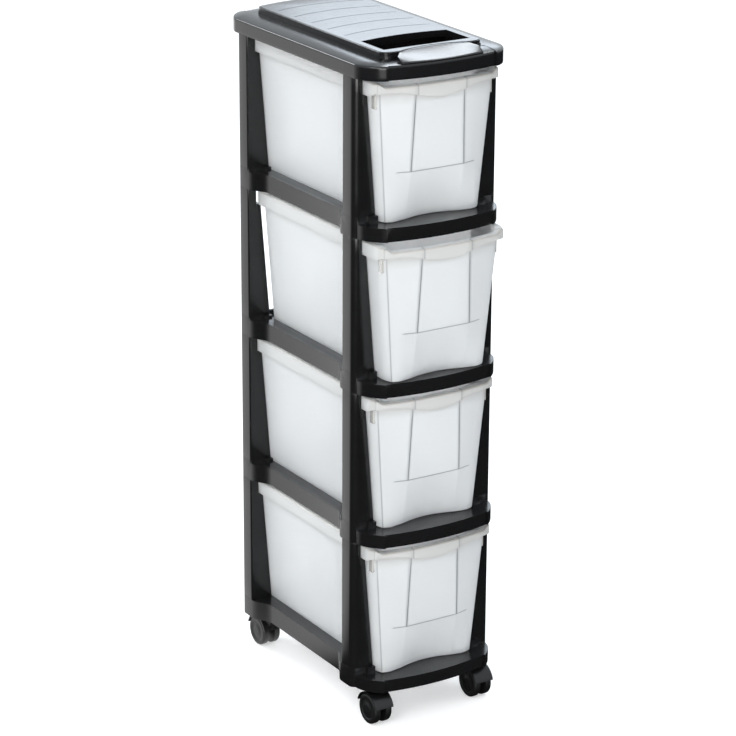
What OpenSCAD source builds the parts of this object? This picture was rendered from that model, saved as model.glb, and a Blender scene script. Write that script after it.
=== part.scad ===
// Rolling tower of four pull-out drawers: ring-shaped shelf frames on corner posts,
// frosted tapered drawers, a lid with a hand opening, and twin-wheel casters.
// Millimetres, +Z up, the drawers open towards -Y. The origin is on the floor, in the middle
// of the tower's overall footprint.

/* [Frame] */
// Width across the outer faces of the posts
frame_w = 188; // [172:1:236]
// Depth from the front faces to the rear faces of the posts
frame_d = 256; // [210:1:320]
// Height of a shelf frame at its corner blocks
shelf_h = 24; // [20:1:32]
// Height of the base frame at its corner blocks
base_h = 23; // [20:1:32]
// How far the drawer seat lies below the top of a corner block
seat_drop = 8; // [6:0.5:10]
// Width of the seat on which a drawer's foot slides
seat_w = 9; // [6:0.5:14]
// How far a side rail's top lies below the top of a corner block
rail_drop = 3; // [1:0.5:5]
// How far the side rails are set in from the posts' outer faces
rail_recess = 12.5; // [6:0.5:14]
// Length of the curve that leads from a post into the recessed rail
rail_blend = 28; // [15:1:40]
// How far the rounded front corners stand ahead of the posts
front_reach = 31; // [26:1:40]
// How far the middle of the front stands ahead of those corners
front_bow = 5.8; // [3:0.2:9]
// Distance from each side to the crease where a corner meets the bow
crease_in = 25; // [20:1:32]
// Depth of the step at that crease
crease_step = 2.5; // [1:0.1:3.5]
// Wall thickness of the frames
frame_wall = 2.6; // [2:0.1:3.4]
// How far the seat bars reach in from the front and rear post faces
bar_in = 18; // [14:1:26]

/* [Posts] */
// Height of one post between two frames
post_h = 156; // [120:1:210]
// Depth of a post, front to rear
post_d = 24; // [20:1:30]
// Width of a post at its foot
post_foot_w = 28.4; // [24:0.2:34]
// Width of a post just under the notch for the drawer's rim
post_neck_w = 17.2; // [15:0.2:21]
// Width of a post beside the drawer's rim
post_head_w = 11.5; // [10:0.1:13]
// Radius of a post's outer corner
post_r = 8; // [4:0.5:9]
// Wall thickness of a post
post_wall = 2.2; // [1.6:0.1:2.8]
// Height of the locating pegs
peg_h = 9; // [6:0.5:12]
// Gap between a peg and the wall around it
peg_gap = 0.25; // [0.15:0.05:0.5]
// Depth and height of the seam at each end of a post
seam = 0.5; // [0.3:0.1:0.8]

/* [Drawers] */
// Gap between a drawer's side and the posts
drawer_gap = 0.8; // [0.5:0.1:1.5]
// Gap between a drawer's foot and its seat
foot_gap = 0.3; // [0.2:0.05:0.6]
// Wall thickness of a drawer
drawer_wall = 2; // [1.5:0.1:3]
// Height of the foot that runs round under a drawer
foot_h = 1.5; // [1.2:0.1:2.5]
// Height of the rim along a drawer's sides
rim_h = 16; // [12:0.5:22]
// Free height above the rim
rim_clear = 3; // [2:0.5:5]
// How far the rim stands out past a drawer's side
rim_out = 5.7; // [4:0.1:6.2]
// How far the middle of a drawer's front stands ahead of the posts, at the rim
drawer_front = 27; // [20:1:32]
// How far a drawer's front leans back over its height
front_rake = 7; // [3:0.5:10]
// How far a drawer's front corners lie behind its middle
wing_back = 9; // [5:0.5:12]
// Half the width of the flat panel in a drawer's front
panel_half = 33; // [24:1:34]
// Height of the front's crease above the drawer's foot
scoop_h = 57; // [40:1:80]
// Depth of the hollow under that crease, at the foot
scoop_depth = 16; // [6:0.5:18]
// How far the pull lip stands out past a drawer's front
lip_out = 4.5; // [3:0.5:5.5]
// How far the lip's lower edge dips in the middle
lip_dip = 5.5; // [3:0.5:8]
// How far the lip's lower edge rises at its ends
lip_rise = 4; // [2:0.5:6]
// How far the upper drawer is left pulled out
upper_drawer_open = 16; // [0:1:60]

/* [Lid] */
// How far the lid's sides stand out past the posts
lid_over = 0.6; // [0.2:0.1:2]
// Height of the lid's skirt
skirt_h = 15.5; // [12:0.5:22]
// Rise of the lid's shoulder from the skirt to the panel
shoulder_rise = 3.3; // [2:0.1:5]
// Depth of the step at the creases in the lid's front and rear
lid_step = 1.2; // [0.5:0.1:2]
// Margin between the lid's sides and the raised panel
panel_margin = 28.6; // [24:0.2:34]
// Height of the raised panel
panel_h = 7.5; // [5:0.5:9]
// Distance between the grooves in the panel
groove_pitch = 36; // [28:1:42]
// Width of a groove
groove_w = 1.2; // [0.8:0.1:2]
// Depth of a groove
groove_depth = 0.7; // [0.4:0.1:1.2]
// Width of the hand opening
hand_w = 111; // [95:1:112]
// Length of the hand opening at its sides, front to rear
hand_l = 47; // [38:1:52]
// Distance from the hand opening to the panel's front edge
hand_margin = 13.5; // [12:0.5:16]
// Width of the grip bar in front of the hand opening
grip_w = 104; // [90:1:108]
// Depth of the hand well under the lid
well_d = 15; // [12:0.5:18]

/* [Casters] */
// Height of the base frame above the floor
caster_h = 43; // [40:1:56]
// Radius of a caster wheel
wheel_r = 18; // [15:0.5:18]
// Width of one caster wheel
wheel_w = 8.2; // [6:0.2:10]
// Gap between the two wheels of a caster
wheel_gap = 7.3; // [6.5:0.1:9]
// Distance from a caster's pivot to its axle
caster_trail = 11; // [8:0.5:13]
// Distance of the caster pivots from the posts' outer faces
caster_in = 25; // [23:0.5:28]
// Distance of the rear pivots from the rear faces of the posts
rear_pivot_in = 23; // [20:1:28]
// Radius of a caster's stem
stem_r = 4; // [3:0.5:4.5]
// Radius of a caster's axle
axle_r = 3; // [2:0.5:4]
// Running clearance of stems and axles, on the radius
run_gap = 0.05; // [0.02:0.01:0.08]

/* [Hidden] */
$fn = 48;
LEVELS = ["bottom", "lower", "upper", "top"];
CORNERS = ["front_left", "front_right", "rear_left", "rear_right"];
SHELVES = ["lower_shelf", "middle_shelf", "upper_shelf"];

black = "#1d1e20";
charcoal = "#2b2c2f";
frost = "#e8eced";

half_w = frame_w / 2;
pitch = post_h + shelf_h;

// The front posts' front faces lie at front_y and the rear posts' rear faces at rear_y.
lid_reach = front_reach + front_bow;
lip_reach = drawer_front + lip_out + upper_drawer_open;
front_most = max(lid_reach, lip_reach);
front_y = front_most - (front_most + frame_d + lid_reach) / 2;
rear_y = front_y + frame_d;
mid_y = (front_y + rear_y) / 2;

base_top = caster_h + base_h;
lid_z = base_top + 4 * post_h + 3 * shelf_h;

// Heights inside one level, measured from the tops of the corner blocks below it.
rim_top = post_h - rim_clear;
rim_low = rim_top - rim_h;
notch_gap = 0.5;
notch_z = rim_low - notch_gap;
foot_z = foot_gap - seat_drop;
scoop_z = foot_z + scoop_h;

function block_top(level) = base_top + level * pitch;
function clamp(v) = min(1, max(0, v));
function arc(cx, cy, r, from, to, n) =
  [for (i = [0:n]) let (a = from + (to - from) * i / n) [cx + r * cos(a), cy + r * sin(a)]];
function mirrored(points) =
  [for (i = [len(points) - 1:-1:0]) if (points[i][0] > 0.001) [-points[i][0], points[i][1]]];
function both_sides(points) = concat(points, mirrored(points));
// Eases from x0 to x1 as y runs from y0 to y1.
function ease(x0, y0, x1, y1, n) =
  [for (i = [0:n]) let (t = i / n) [x0 + (x1 - x0) * t * t * (3 - 2 * t), y0 + (y1 - y0) * t]];

// A full corner flatter than an ellipse, from [x, y] on the side to dx inward and dy along.
corner_power = 1.55;
function soft_corner(x, y, dx, dy, n) =
  [for (i = [0:n]) let (a = 90 * i / n)
    [x - dx + dx * pow(cos(a), 2 / corner_power), y + dy * pow(sin(a), 2 / corner_power)]];
// A shallow arc from half chord c at height y to the middle, rise further out along dir.
function bow(c, y, rise, dir, n) =
  let (r = (c * c + rise * rise) / (2 * rise), sweep = asin(c / r))
  [for (i = [0:n]) let (a = sweep * (1 - i / n)) [r * sin(a), y + dir * (rise - r + r * cos(a))]];

// ---- Frames ------------------------------------------------------------------------------

corner_steps = 7;
bow_steps = 8;

// From the rounded corner of a front post the ledge's side curves inwards to the crease.
post_steps = 8;
lip_steps = 7;
function lip_side() =
  let (
    turn = 90 * (post_steps - 2) / post_steps,
    corner = arc(half_w - post_r, front_y + post_r, post_r, 0, -turn, post_steps - 2),
    from = corner[post_steps - 2],
    to = [half_w - crease_in, front_y - front_reach]
  )
  concat(corner, [for (i = [1:lip_steps]) let (t = i / lip_steps)
    [from[0] + (to[0] - from[0]) * t * t, from[1] + (to[1] - from[1]) * t]]);

function frame_outline() = both_sides(concat(
  [[0, rear_y]],
  arc(half_w - post_r, rear_y - post_r, post_r, 90, 0, post_steps),
  ease(half_w, rear_y - post_d, half_w - rail_recess, rear_y - post_d - rail_blend, 8),
  ease(half_w - rail_recess, front_y + post_d + rail_blend, half_w, front_y + post_d, 8),
  lip_side(),
  bow(half_w - crease_in, front_y - front_reach + crease_step, front_bow + crease_step, -1, bow_steps)
));

// Inner faces of the guides, flush with the posts' feet.
guide_x = half_w - post_foot_w;
guide_lead = 5;
guide_w = 10;
back_wall = 4;
rail_lap = 2;
front_bar_lead = 12;
seat_in_x = guide_x - seat_w;
front_bar_y = front_y + bar_in - front_bar_lead;
rear_bar_y = rear_y - bar_in;
boss_r = stem_r + 5;
stem_l = 11;
front_pivot_y = front_y;
rear_pivot_y = rear_y - rear_pivot_in;
caster_x = half_w - caster_in;
pocket_half = caster_x - boss_r - 1;

module box(low, high) {
  translate(low) cube(high - low);
}

// The four corners as mirror images of the front right one, about the tower's middle.
module at_corner(corner) {
  left = corner % 2 == 0 ? 1 : 0;
  rear = corner >= 2 ? 1 : 0;
  mirror([left, 0, 0])
    translate([0, mid_y, 0])
      mirror([0, rear, 0])
        translate([0, -mid_y, 0])
          children();
}

// Plan of the right front post, its walls drawn in by inset.
function post_plan(inset) =
  let (
    small_r = max(0.2, 1.6 - inset),
    x = half_w - inset,
    y0 = front_y + inset,
    y1 = front_y + post_d - inset,
    r = post_r - inset
  )
  concat(
    arc(x - r, y0 + r, r, -90, 0, post_steps),
    arc(x - small_r, y1 - small_r, small_r, 0, 90, 3),
    [[half_w - post_foot_w - 1, y1], [half_w - post_foot_w - 1, y0]]
  );

// The post's face seen from the front: it widens downwards and is notched for the rim.
post_taper = (post_foot_w - post_neck_w) / notch_z;
function post_face(inset) =
  let (low = -3, high = post_h + 3, notch = notch_z - inset, foot_x = half_w - post_foot_w + inset)
  [
    [half_w + 1, low],
    [half_w + 1, high],
    [half_w - post_head_w + inset, high],
    [half_w - post_head_w + inset, notch],
    [foot_x + post_taper * notch, notch],
    [foot_x + post_taper * low, low]
  ];

module post_core(inset, low, high) {
  intersection() {
    translate([0, 0, low])
      linear_extrude(high - low) polygon(post_plan(inset));
    translate([0, front_y + post_d + 1, 0])
      rotate([90, 0, 0])
        linear_extrude(post_d + 2) polygon(post_face(inset));
  }
}

// Locating peg on a post's head, drawn in the right front corner; grow widens it to a socket.
head_peg_w = 5.4;
head_peg_l = 13;
module head_peg(low, high, grow = 0) {
  x = half_w - post_head_w / 2;
  y = front_y + post_d / 2;
  box([x - head_peg_w / 2 - grow, y - head_peg_l / 2 - grow, low],
      [x + head_peg_w / 2 + grow, y + head_peg_l / 2 + grow, high]);
}

// A ring frame: rails with guides and a seat, a bowed front ledge and four corner blocks.
module frame_ring(h, rail_top, low) {
  seat = h - seat_drop;
  translate([0, 0, low]) {
    difference() {
      union() {
        linear_extrude(seat) polygon(frame_outline());
        intersection() {
          linear_extrude(rail_top) polygon(frame_outline());
          union() {
            for (side = [-1, 1])
              box([min(side * guide_x, side * (half_w + 1)), front_y + post_d - rail_lap, 0],
                  [max(side * guide_x, side * (half_w + 1)), rear_y - post_d + rail_lap, h]);
            box([-half_w, rear_y - back_wall, 0], [half_w, rear_y, h]);
          }
        }
        // Corner blocks under the posts, with guide bars that lead the drawer in.
        for (corner = [0:3])
          at_corner(corner) {
            intersection() {
              linear_extrude(h) polygon(post_plan(0));
              box([guide_x, front_y - 1, -1], [half_w + 1, front_y + post_d + 1, h + 1]);
            }
            box([guide_x, front_y - (corner < 2 ? guide_lead : 0), 0],
                [guide_x + guide_w, front_y + post_d + guide_lead, h]);
          }
      }
      // Open middle of the ring.
      box([-seat_in_x, front_bar_y, -1], [seat_in_x, rear_bar_y, h]);
      // Undersides, hollow between their walls.
      box([-pocket_half, front_y - front_reach + 2 * frame_wall, -1],
          [pocket_half, front_bar_y - frame_wall, seat - frame_wall]);
      box([-pocket_half, rear_bar_y + frame_wall, -1],
          [pocket_half, rear_y - frame_wall, seat - frame_wall]);
      for (side = [-1, 1])
        translate([side * (guide_x + seat_in_x + frame_wall) / 2, mid_y, seat / 2 - frame_wall])
          cube([seat_w - 2 * frame_wall, frame_d - 2 * (post_d + rail_blend), seat], center = true);
      for (side = [-1, 1])
        translate([side * (guide_x + half_w - rail_recess) / 2, mid_y, rail_top / 2 - frame_wall])
          cube([half_w - rail_recess - guide_x - 2 * frame_wall,
                frame_d - 2 * (post_d + rail_blend), rail_top], center = true);
    }
    for (corner = [0:3])
      at_corner(corner)
        translate([0, 0, h]) post_core(post_wall + peg_gap, 0, peg_h);
  }
}

module base_frame() {
  color(black)
    difference() {
      frame_ring(base_h, base_h, caster_h);
      for (side = [-1, 1])
        for (y = [front_pivot_y, rear_pivot_y])
          translate([side * caster_x, y, caster_h - 1])
            cylinder(h = stem_l + 2, r = stem_r + run_gap);
    }
}

module shelf(level) {
  color(black)
    difference() {
      frame_ring(shelf_h, shelf_h - rail_drop, block_top(level) - shelf_h);
      for (corner = [0:3])
        at_corner(corner)
          head_peg(block_top(level) - shelf_h - 1, block_top(level) - shelf_h + peg_h + 0.5, peg_gap);
    }
}

// ---- Posts -------------------------------------------------------------------------------

head_wall = 3;
module post(level, corner) {
  color(black)
    translate([0, 0, block_top(level)])
      at_corner(corner) {
        difference() {
          union() {
            post_core(seam, 0, seam);
            post_core(0, seam, post_h - seam);
            post_core(seam, post_h - seam, post_h);
          }
          post_core(post_wall, -1, post_h - head_wall);
        }
        head_peg(post_h, post_h + peg_h);
      }
}

// ---- Drawers -----------------------------------------------------------------------------

drawer_back_gap = 1.5;
drawer_rear = rear_y - back_wall - drawer_back_gap - rim_out;
function side_x(z) = half_w - post_foot_w + post_taper * min(z, notch_z) - drawer_gap;

// Replaces a corner by a curve that starts and ends r before and after it.
function blend(a, b, c, r, n) =
  n == 0 ? [b]
  : let (
      d1 = min(r, 0.45 * norm(a - b)),
      d2 = min(r, 0.45 * norm(c - b)),
      p = b + (a - b) / norm(a - b) * d1,
      q = b + (c - b) / norm(c - b) * d2
    )
    [for (i = [0:n]) let (t = i / n) (1 - t) * (1 - t) * p + 2 * t * (1 - t) * b + t * t * q];

// Corners of the right half of a drawer's plan at height z: x, y, blend length, blend steps.
corner_in = 3.5;
corner_l = 10;
wing_tail = 8.5;
function drawer_corners(z, side_out, front_out) =
  let (
    lean = front_rake * (1 - clamp((z - foot_z) / (rim_top - foot_z))),
    hollow = scoop_depth * clamp((scoop_z - z) / scoop_h),
    x = side_x(z) + side_out,
    face = front_y - drawer_front + lean - front_out,
    rear = drawer_rear + side_out
  )
  [
    [x, rear, 7, 4],
    [x, face + wing_back + corner_l, 5, 2],
    [x - corner_in, face + wing_back, 2.5, 2],
    [x - corner_in - wing_tail, face + wing_back * 0.68, 6, 2],
    [panel_half + 3, face + 0.4 + hollow * 0.56, 1.5, 1],
    [panel_half / 2, face + hollow * 0.9, 5, 1],
    [0, face + hollow, 0, 0]
  ];

function drawer_ring(z, side_out, front_out) =
  let (
    c = drawer_corners(z, side_out, front_out),
    full = concat(c, [for (i = [len(c) - 2:-1:0]) [-c[i][0], c[i][1], c[i][2], c[i][3]]]),
    n = len(full),
    xy = [for (p = full) [p[0], p[1]]]
  )
  [for (i = [0:n - 1]) each blend(xy[(i + n - 1) % n], xy[i], xy[(i + 1) % n], full[i][2], full[i][3])];

function level_ring(z, side_out, front_out) =
  [for (p = drawer_ring(z, side_out, front_out)) [p[0], p[1], z]];

// Share of the front lip's shape at a point: none along the sides, all across the front.
function lip_share(y) = clamp((front_y - drawer_front + wing_back + 8 - y) / 8);
lip_half = 60;
function lip_low(p) =
  rim_low + lip_share(p[1]) * ((lip_rise - lip_dip) / 2
    - (lip_rise + lip_dip) / 2 * cos(180 * min(1, abs(p[0]) / lip_half)));
function rim_ring(side_out, front_out, z_of) =
  [for (p = drawer_ring(rim_low, side_out, front_out)) [p[0], p[1], z_of(p)]];

foot_w = 4;
inner_floor = foot_z + foot_h + drawer_wall;
lip_slope = 1.5;
function drawer_rings() =
  let (
    w = drawer_wall,
    flat = function(z) function(p) z,
    lip = function(p) lip_low(p),
    upper = function(drop) function(p) rim_top - drop - lip_slope * lip_share(p[1])
  )
  [
    // Under the drawer, from the recess inside the foot outwards.
    level_ring(foot_z + foot_h, -foot_w - 1, -foot_w - 1),
    level_ring(foot_z, -foot_w, -foot_w),
    level_ring(foot_z, -1.6, -1.6),
    // Up the outside.
    level_ring(foot_z + 1, -0.3, -0.3),
    level_ring(foot_z + scoop_h / 3, 0, 0),
    level_ring(foot_z + 2 * scoop_h / 3, 0, 0),
    level_ring(scoop_z, 0, 0),
    level_ring((scoop_z + rim_low) / 2, 0, 0),
    rim_ring(0, 0, lip),
    // Round the rim.
    rim_ring(rim_out, lip_out, lip),
    rim_ring(rim_out, lip_out, upper(2)),
    rim_ring(rim_out - 1.2, lip_out - 1.2, upper(0.4)),
    rim_ring(rim_out - 3, lip_out - 3, upper(0)),
    rim_ring(-w + 0.6, -w + 0.6, flat(rim_top)),
    // Down the inside.
    rim_ring(-w, -w, flat(rim_top - 1)),
    level_ring(scoop_z, -w, -w),
    level_ring(foot_z + scoop_h / 2, -w, -w),
    level_ring(inner_floor + 2, -w - 0.4, -w - 0.4),
    level_ring(inner_floor, -w - 2.4, -w - 2.4)
  ];

// A closed solid through rings of equal length, capped by the first and the last ring.
module ring_solid(rings, closed = false) {
  m = len(rings);
  n = len(rings[0]);
  points = [for (ring = rings) each ring];
  spans = closed ? m : m - 1;
  sides = [for (j = [0:spans - 1]) for (i = [0:n - 1])
    let (
      a = j * n + i,
      b = j * n + (i + 1) % n,
      c = ((j + 1) % m) * n + (i + 1) % n,
      d = ((j + 1) % m) * n + i
    )
    each [[a, b, c], [a, c, d]]];
  caps = closed ? [] : [[for (i = [n - 1:-1:0]) i], [for (i = [0:n - 1]) (m - 1) * n + i]];
  polyhedron(points, concat(sides, caps), convexity = 8);
}

// Short rib under the rim at each front corner: it stops short of the post when the drawer
// is shut, and its inner face runs inside the wall.
rib_out = 2.2;
rib_l = 7;
rib_h = 15;
module corner_rib() {
  x = side_x(rim_low - rib_h);
  y = front_y - drawer_front + wing_back + corner_l + 2;
  bite = 0.4;
  translate([0, 0, rim_low - rib_h])
    linear_extrude(rib_h + 0.8)
      polygon([
        [x - bite, y],
        [x + rib_out, y],
        [x + rib_out, y - rib_l],
        [x - bite - corner_in * 0.55, y - rib_l]
      ]);
}

module drawer(level) {
  pull = level == 2 ? upper_drawer_open : 0;
  color(frost, 0.85)
    translate([0, -pull, block_top(level)]) {
      ring_solid(drawer_rings());
      corner_rib();
      mirror([1, 0, 0]) corner_rib();
    }
}

// ---- Lid ---------------------------------------------------------------------------------

lid_half = half_w + lid_over;
lid_wall = 2.6;
plate_t = 2.4;
seat_z = skirt_h + shoulder_rise;

// The lid's plan, the same at front and rear, drawn in by inset.
function lid_outline(inset, step = lid_step) =
  let (
    dx = crease_in - inset * 0.9,
    dy = front_reach - inset,
    x = lid_half - inset,
    c = x - dx,
    rear_bow = bow(c, rear_y + dy - step, front_bow + lid_step, 1, bow_steps),
    rear_corner = soft_corner(x, rear_y, dx, dy, corner_steps),
    front_corner = soft_corner(x, front_y, dx, -dy, corner_steps),
    front_arc = bow(c, front_y - dy + step, front_bow + lid_step, -1, bow_steps)
  )
  both_sides(concat(
    [for (i = [bow_steps:-1:0]) rear_bow[i]],
    [for (i = [corner_steps:-1:0]) rear_corner[i]],
    front_corner,
    front_arc
  ));

// Hand opening: straight sides, a rear edge that bows back.
panel_half_w = lid_half - panel_margin;
panel_front_in = 19;
panel_rear_out = 6;
panel_front = front_y - front_reach + panel_front_in;
panel_rear = rear_y + panel_rear_out;
panel_bow = 7;
panel_r = 11;
hand_front = panel_front + hand_margin;
hand_rear = hand_front + hand_l;
hand_bow = 6.5;
function hand_outline(grow) = both_sides(concat(
  bow_back(hand_w / 2 + grow, hand_rear + grow, hand_bow),
  [[hand_w / 2 + grow, hand_front - grow]]
));
function bow_back(c, y, rise) = [for (i = [6:-1:0]) bow(c, y, rise, 1, 6)[i]];

// The hole in the lid's plate, one point for each point of the lid's outline.
function plate_hole(outline) =
  let (
    cy = (hand_front + hand_rear) / 2,
    hx = hand_w / 2 + 2,
    hy = hand_l / 2 + hand_bow + 2
  )
  [for (p = outline)
    let (
      a = atan2((p[1] - mid_y) / (frame_d / 2 + lid_reach) * hy, p[0] / lid_half * hx),
      u = cos(a) / hx,
      v = sin(a) / hy,
      r = pow(pow(abs(u), 10) + pow(abs(v), 10), -0.1)
    )
    [r * cos(a), cy + hand_bow / 2 + r * sin(a)]];

// Height of the shoulder at a distance in from the lid's edge.
flat_in = 20;
shoulder_table = [[0, -0.4], [0.5, 0.3], [2.5, 1.1], [9, 0.7 * shoulder_rise], [flat_in, shoulder_rise]];
function lid_ring(inset, z) = [for (p = lid_outline(inset)) [p[0], p[1], z]];

module top_frame() {
  // A step the other way keeps the hole's points in order round the crease.
  hole = plate_hole(lid_outline(flat_in, -lid_step));
  rings = concat(
    [lid_ring(0, 0)],
    [for (row = shoulder_table) lid_ring(row[0], skirt_h + row[1])],
    [
      [for (p = hole) [p[0], p[1], seat_z]],
      [for (p = hole) [p[0], p[1], seat_z - plate_t]],
      lid_ring(flat_in, seat_z - plate_t),
      lid_ring(lid_wall + 1, skirt_h - 1.6),
      lid_ring(lid_wall, skirt_h - 3),
      lid_ring(lid_wall, 0)
    ]
  );
  color(black)
    difference() {
      union() {
        translate([0, 0, lid_z]) ring_solid(rings, closed = true);
        // Bosses over the posts' heads.
        for (corner = [0:3])
          at_corner(corner)
            box([half_w - post_head_w - 0.5, front_y + 1, lid_z],
                [lid_half - lid_wall + 0.6, front_y + post_d - 1, lid_z + seat_z - plate_t + 0.6]);
      }
      for (corner = [0:3])
        at_corner(corner)
          head_peg(lid_z - 1, lid_z + peg_h + 0.5, peg_gap);
    }
}

// Plan of the raised panel, drawn in by inset.
function panel_outline(inset) =
  let (x = panel_half_w - inset, r = panel_r - inset, y0 = panel_front + inset, y1 = panel_rear - inset)
  both_sides(concat(
    [for (i = [8:-1:0]) bow(x - r, y1, panel_bow, 1, 8)[i]],
    arc(x - r, y1 - r, r, 90, 0, 5),
    arc(x - r, y0 + r, r, 0, -90, 5)
  ));

// Plan of the grip bar: a bowed rear edge, chamfered ends and a front edge along the lid's bow.
grip_half = grip_w / 2;
grip_rear = panel_front - 0.6;
grip_bow = 9;
grip_neck = grip_half - 7;
grip_slope = 1.15;
function lid_front_y(x) =
  let (
    c = lid_half - crease_in,
    rise = front_bow + lid_step,
    r = (c * c + rise * rise) / (2 * rise)
  )
  front_y - lid_reach + r - sqrt(r * r - x * x);
function grip_rear_y(x) =
  abs(x) > grip_neck
  ? grip_rear - (abs(x) - grip_neck) * grip_slope
  : let (r = (grip_neck * grip_neck + grip_bow * grip_bow) / (2 * grip_bow))
    grip_rear + grip_bow - r + sqrt(r * r - x * x);

grip_gap = 0.6;
panel_wall = 2.4;
// The hand opening and the notch for the grip bar, grown by grow.
module panel_cutouts(grow) {
  neck = grip_neck + grip_gap + grow;
  translate([0, 0, -2])
    linear_extrude(panel_h + 4) polygon(hand_outline(grow));
  translate([0, 0, -2])
    linear_extrude(panel_h + 4)
      polygon(both_sides(concat(
        [for (i = [0:12]) let (x = i / 12)
          [x * neck, grip_rear_y(x * grip_neck) + grip_gap + grow]],
        [[neck, panel_front - 5], [0, panel_front - 5]]
      )));
}

module top_panel() {
  z = lid_z + seat_z;
  step_h = panel_h * 0.45;
  edge = 0.6;
  sweep = asin(groove_half / groove_r);
  color(charcoal)
    translate([0, 0, z])
      difference() {
        union() {
          linear_extrude(step_h) polygon(panel_outline(0));
          translate([0, 0, step_h])
            linear_extrude(panel_h - edge - step_h) polygon(panel_outline(0.9));
          translate([0, 0, panel_h - edge])
            linear_extrude(edge) polygon(panel_outline(1.5));
        }
        panel_cutouts(0);
        // Hollow underneath.
        difference() {
          translate([0, 0, -1])
            linear_extrude(panel_h - panel_wall + 1) polygon(panel_outline(panel_wall + 1));
          panel_cutouts(panel_wall);
        }
        for (i = [0:groove_count - 1])
          translate([0, groove_rear + groove_bow - groove_r - i * groove_pitch, panel_h - groove_depth])
            rotate([0, 0, 90 - sweep])
              rotate_extrude(angle = 2 * sweep, $fn = 360)
                translate([groove_r - groove_w / 2, 0])
                  square([groove_w, groove_depth + 1]);
      }
}

groove_half = panel_half_w - 10;
groove_bow = 9;
groove_r = (groove_half * groove_half + groove_bow * groove_bow) / (2 * groove_bow);
groove_rear_in = 37;
groove_hand_gap = 16;
groove_rear = panel_rear - groove_rear_in;
groove_count = floor((groove_rear - hand_rear - hand_bow - groove_hand_gap) / groove_pitch) + 1;

// The bar that the fingers hook round: its rear edge is level with the panel, and its crowned
// top falls to a low front edge on the lid's shoulder.
grip_stations = 20;
grip_gap_z = 0.12;
grip_front_in = 2.5;
grip_front_h = 2.8;
module grip_bar() {
  function section(x) =
    let (
      end = clamp((abs(x) - grip_neck) / (grip_half - grip_neck)),
      edge = lid_front_y(x),
      yr = grip_rear_y(x),
      yf = edge + grip_front_in,
      low = lookup(grip_front_in, shoulder_table) + grip_gap_z,
      front_top = low + grip_front_h,
      high = panel_h + shoulder_rise - 0.8 + 1.2 * (1 - pow(x / grip_half, 2)) - end * 2.2
    )
    concat(
      [for (t = [0, 0.08, 0.35, 0.65, 0.9, 1])
        [x, yr + (yf - yr) * t, front_top + (high - front_top) * (t < 0.05 ? 0.9 : 1 - pow(t, 1.8))]],
      [for (inset = [grip_front_in, 9, min(flat_in, yr - edge - 0.3), yr - edge])
        [x, edge + inset, lookup(inset, shoulder_table) + grip_gap_z]]
    );
  n = 2 * grip_stations;
  sections = [for (i = [0:n]) section(grip_half * (1 - i / grip_stations))];
  color(black)
    translate([0, 0, lid_z + skirt_h])
      ring_solid(sections);
}

// Tray under the plate: it closes the hand opening off from the drawer below.
well_wall = 1.8;
module hand_well() {
  top = seat_z - plate_t;
  x = hand_w / 2 + 2 + well_wall;
  y0 = panel_front;
  y1 = hand_rear + hand_bow + 6;
  color(black)
    translate([0, 0, lid_z])
      difference() {
        box([-x, y0, top - well_d], [x, y1, top]);
        box([-x + well_wall, y0 + well_wall, top - well_d + well_wall],
            [x - well_wall, y1 - well_wall, top + 1]);
      }
}

// ---- Casters -----------------------------------------------------------------------------

hood_gap = 1.2;
hood_t = 1.6;
hood_top = caster_h - 0.3;
flange_t = 2;
flange_r = stem_r + 6;
hub_w = wheel_gap - 1;
web_w = hub_w - 1.4;
axle_grip = 0.02;
blind_l = wheel_w - 1.6;
end_gap = 0.3;

// A caster stands at its pivot, its wheels trailing towards -Y in front and +Y at the rear.
module at_caster(corner) {
  side = corner % 2 == 0 ? -1 : 1;
  rear = corner >= 2;
  translate([side * caster_x, rear ? rear_pivot_y : front_pivot_y, 0])
    mirror([0, rear ? 1 : 0, 0])
      children();
}

// Turns a solid made along +Z so that it runs along +X at the axle.
module at_axle(x = 0) {
  translate([x, -caster_trail, wheel_r]) rotate([0, 90, 0]) children();
}

hood_sweep = 150;
web_sweep = 136;
module caster_hood(corner) {
  r1 = wheel_r + hood_gap;
  r2 = r1 + hood_t;
  w = 2 * wheel_w + wheel_gap + 0.6;
  color(black)
    at_caster(corner) {
      difference() {
        union() {
          difference() {
            translate([0, 0, wheel_r]) cylinder(h = hood_top - wheel_r, r = stem_r + 3);
            at_axle(-w) cylinder(h = 2 * w, r = r1 + hood_t / 2);
          }
          at_axle(-w / 2)
            rotate([0, 0, 180 - hood_sweep / 2])
              rotate_extrude(angle = hood_sweep) translate([r1, 0]) square([r2 - r1, w]);
          at_axle(-web_w / 2)
            rotate([0, 0, 180 - web_sweep / 2])
              rotate_extrude(angle = web_sweep) square([r1 + hood_t / 3, web_w]);
          at_axle(-hub_w / 2) cylinder(h = hub_w, r = axle_r + 5);
          translate([0, 0, hood_top - flange_t]) cylinder(h = flange_t, r = flange_r);
          translate([0, 0, hood_top - 1]) cylinder(h = 1 + stem_l, r = stem_r);
        }
        at_axle(-hub_w) cylinder(h = 2 * hub_w, r = axle_r + axle_grip);
      }
    }
}

module caster_axle(corner) {
  half = wheel_gap / 2 + blind_l - end_gap;
  color("silver")
    at_caster(corner)
      at_axle(-half) cylinder(h = 2 * half, r = axle_r);
}

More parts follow.
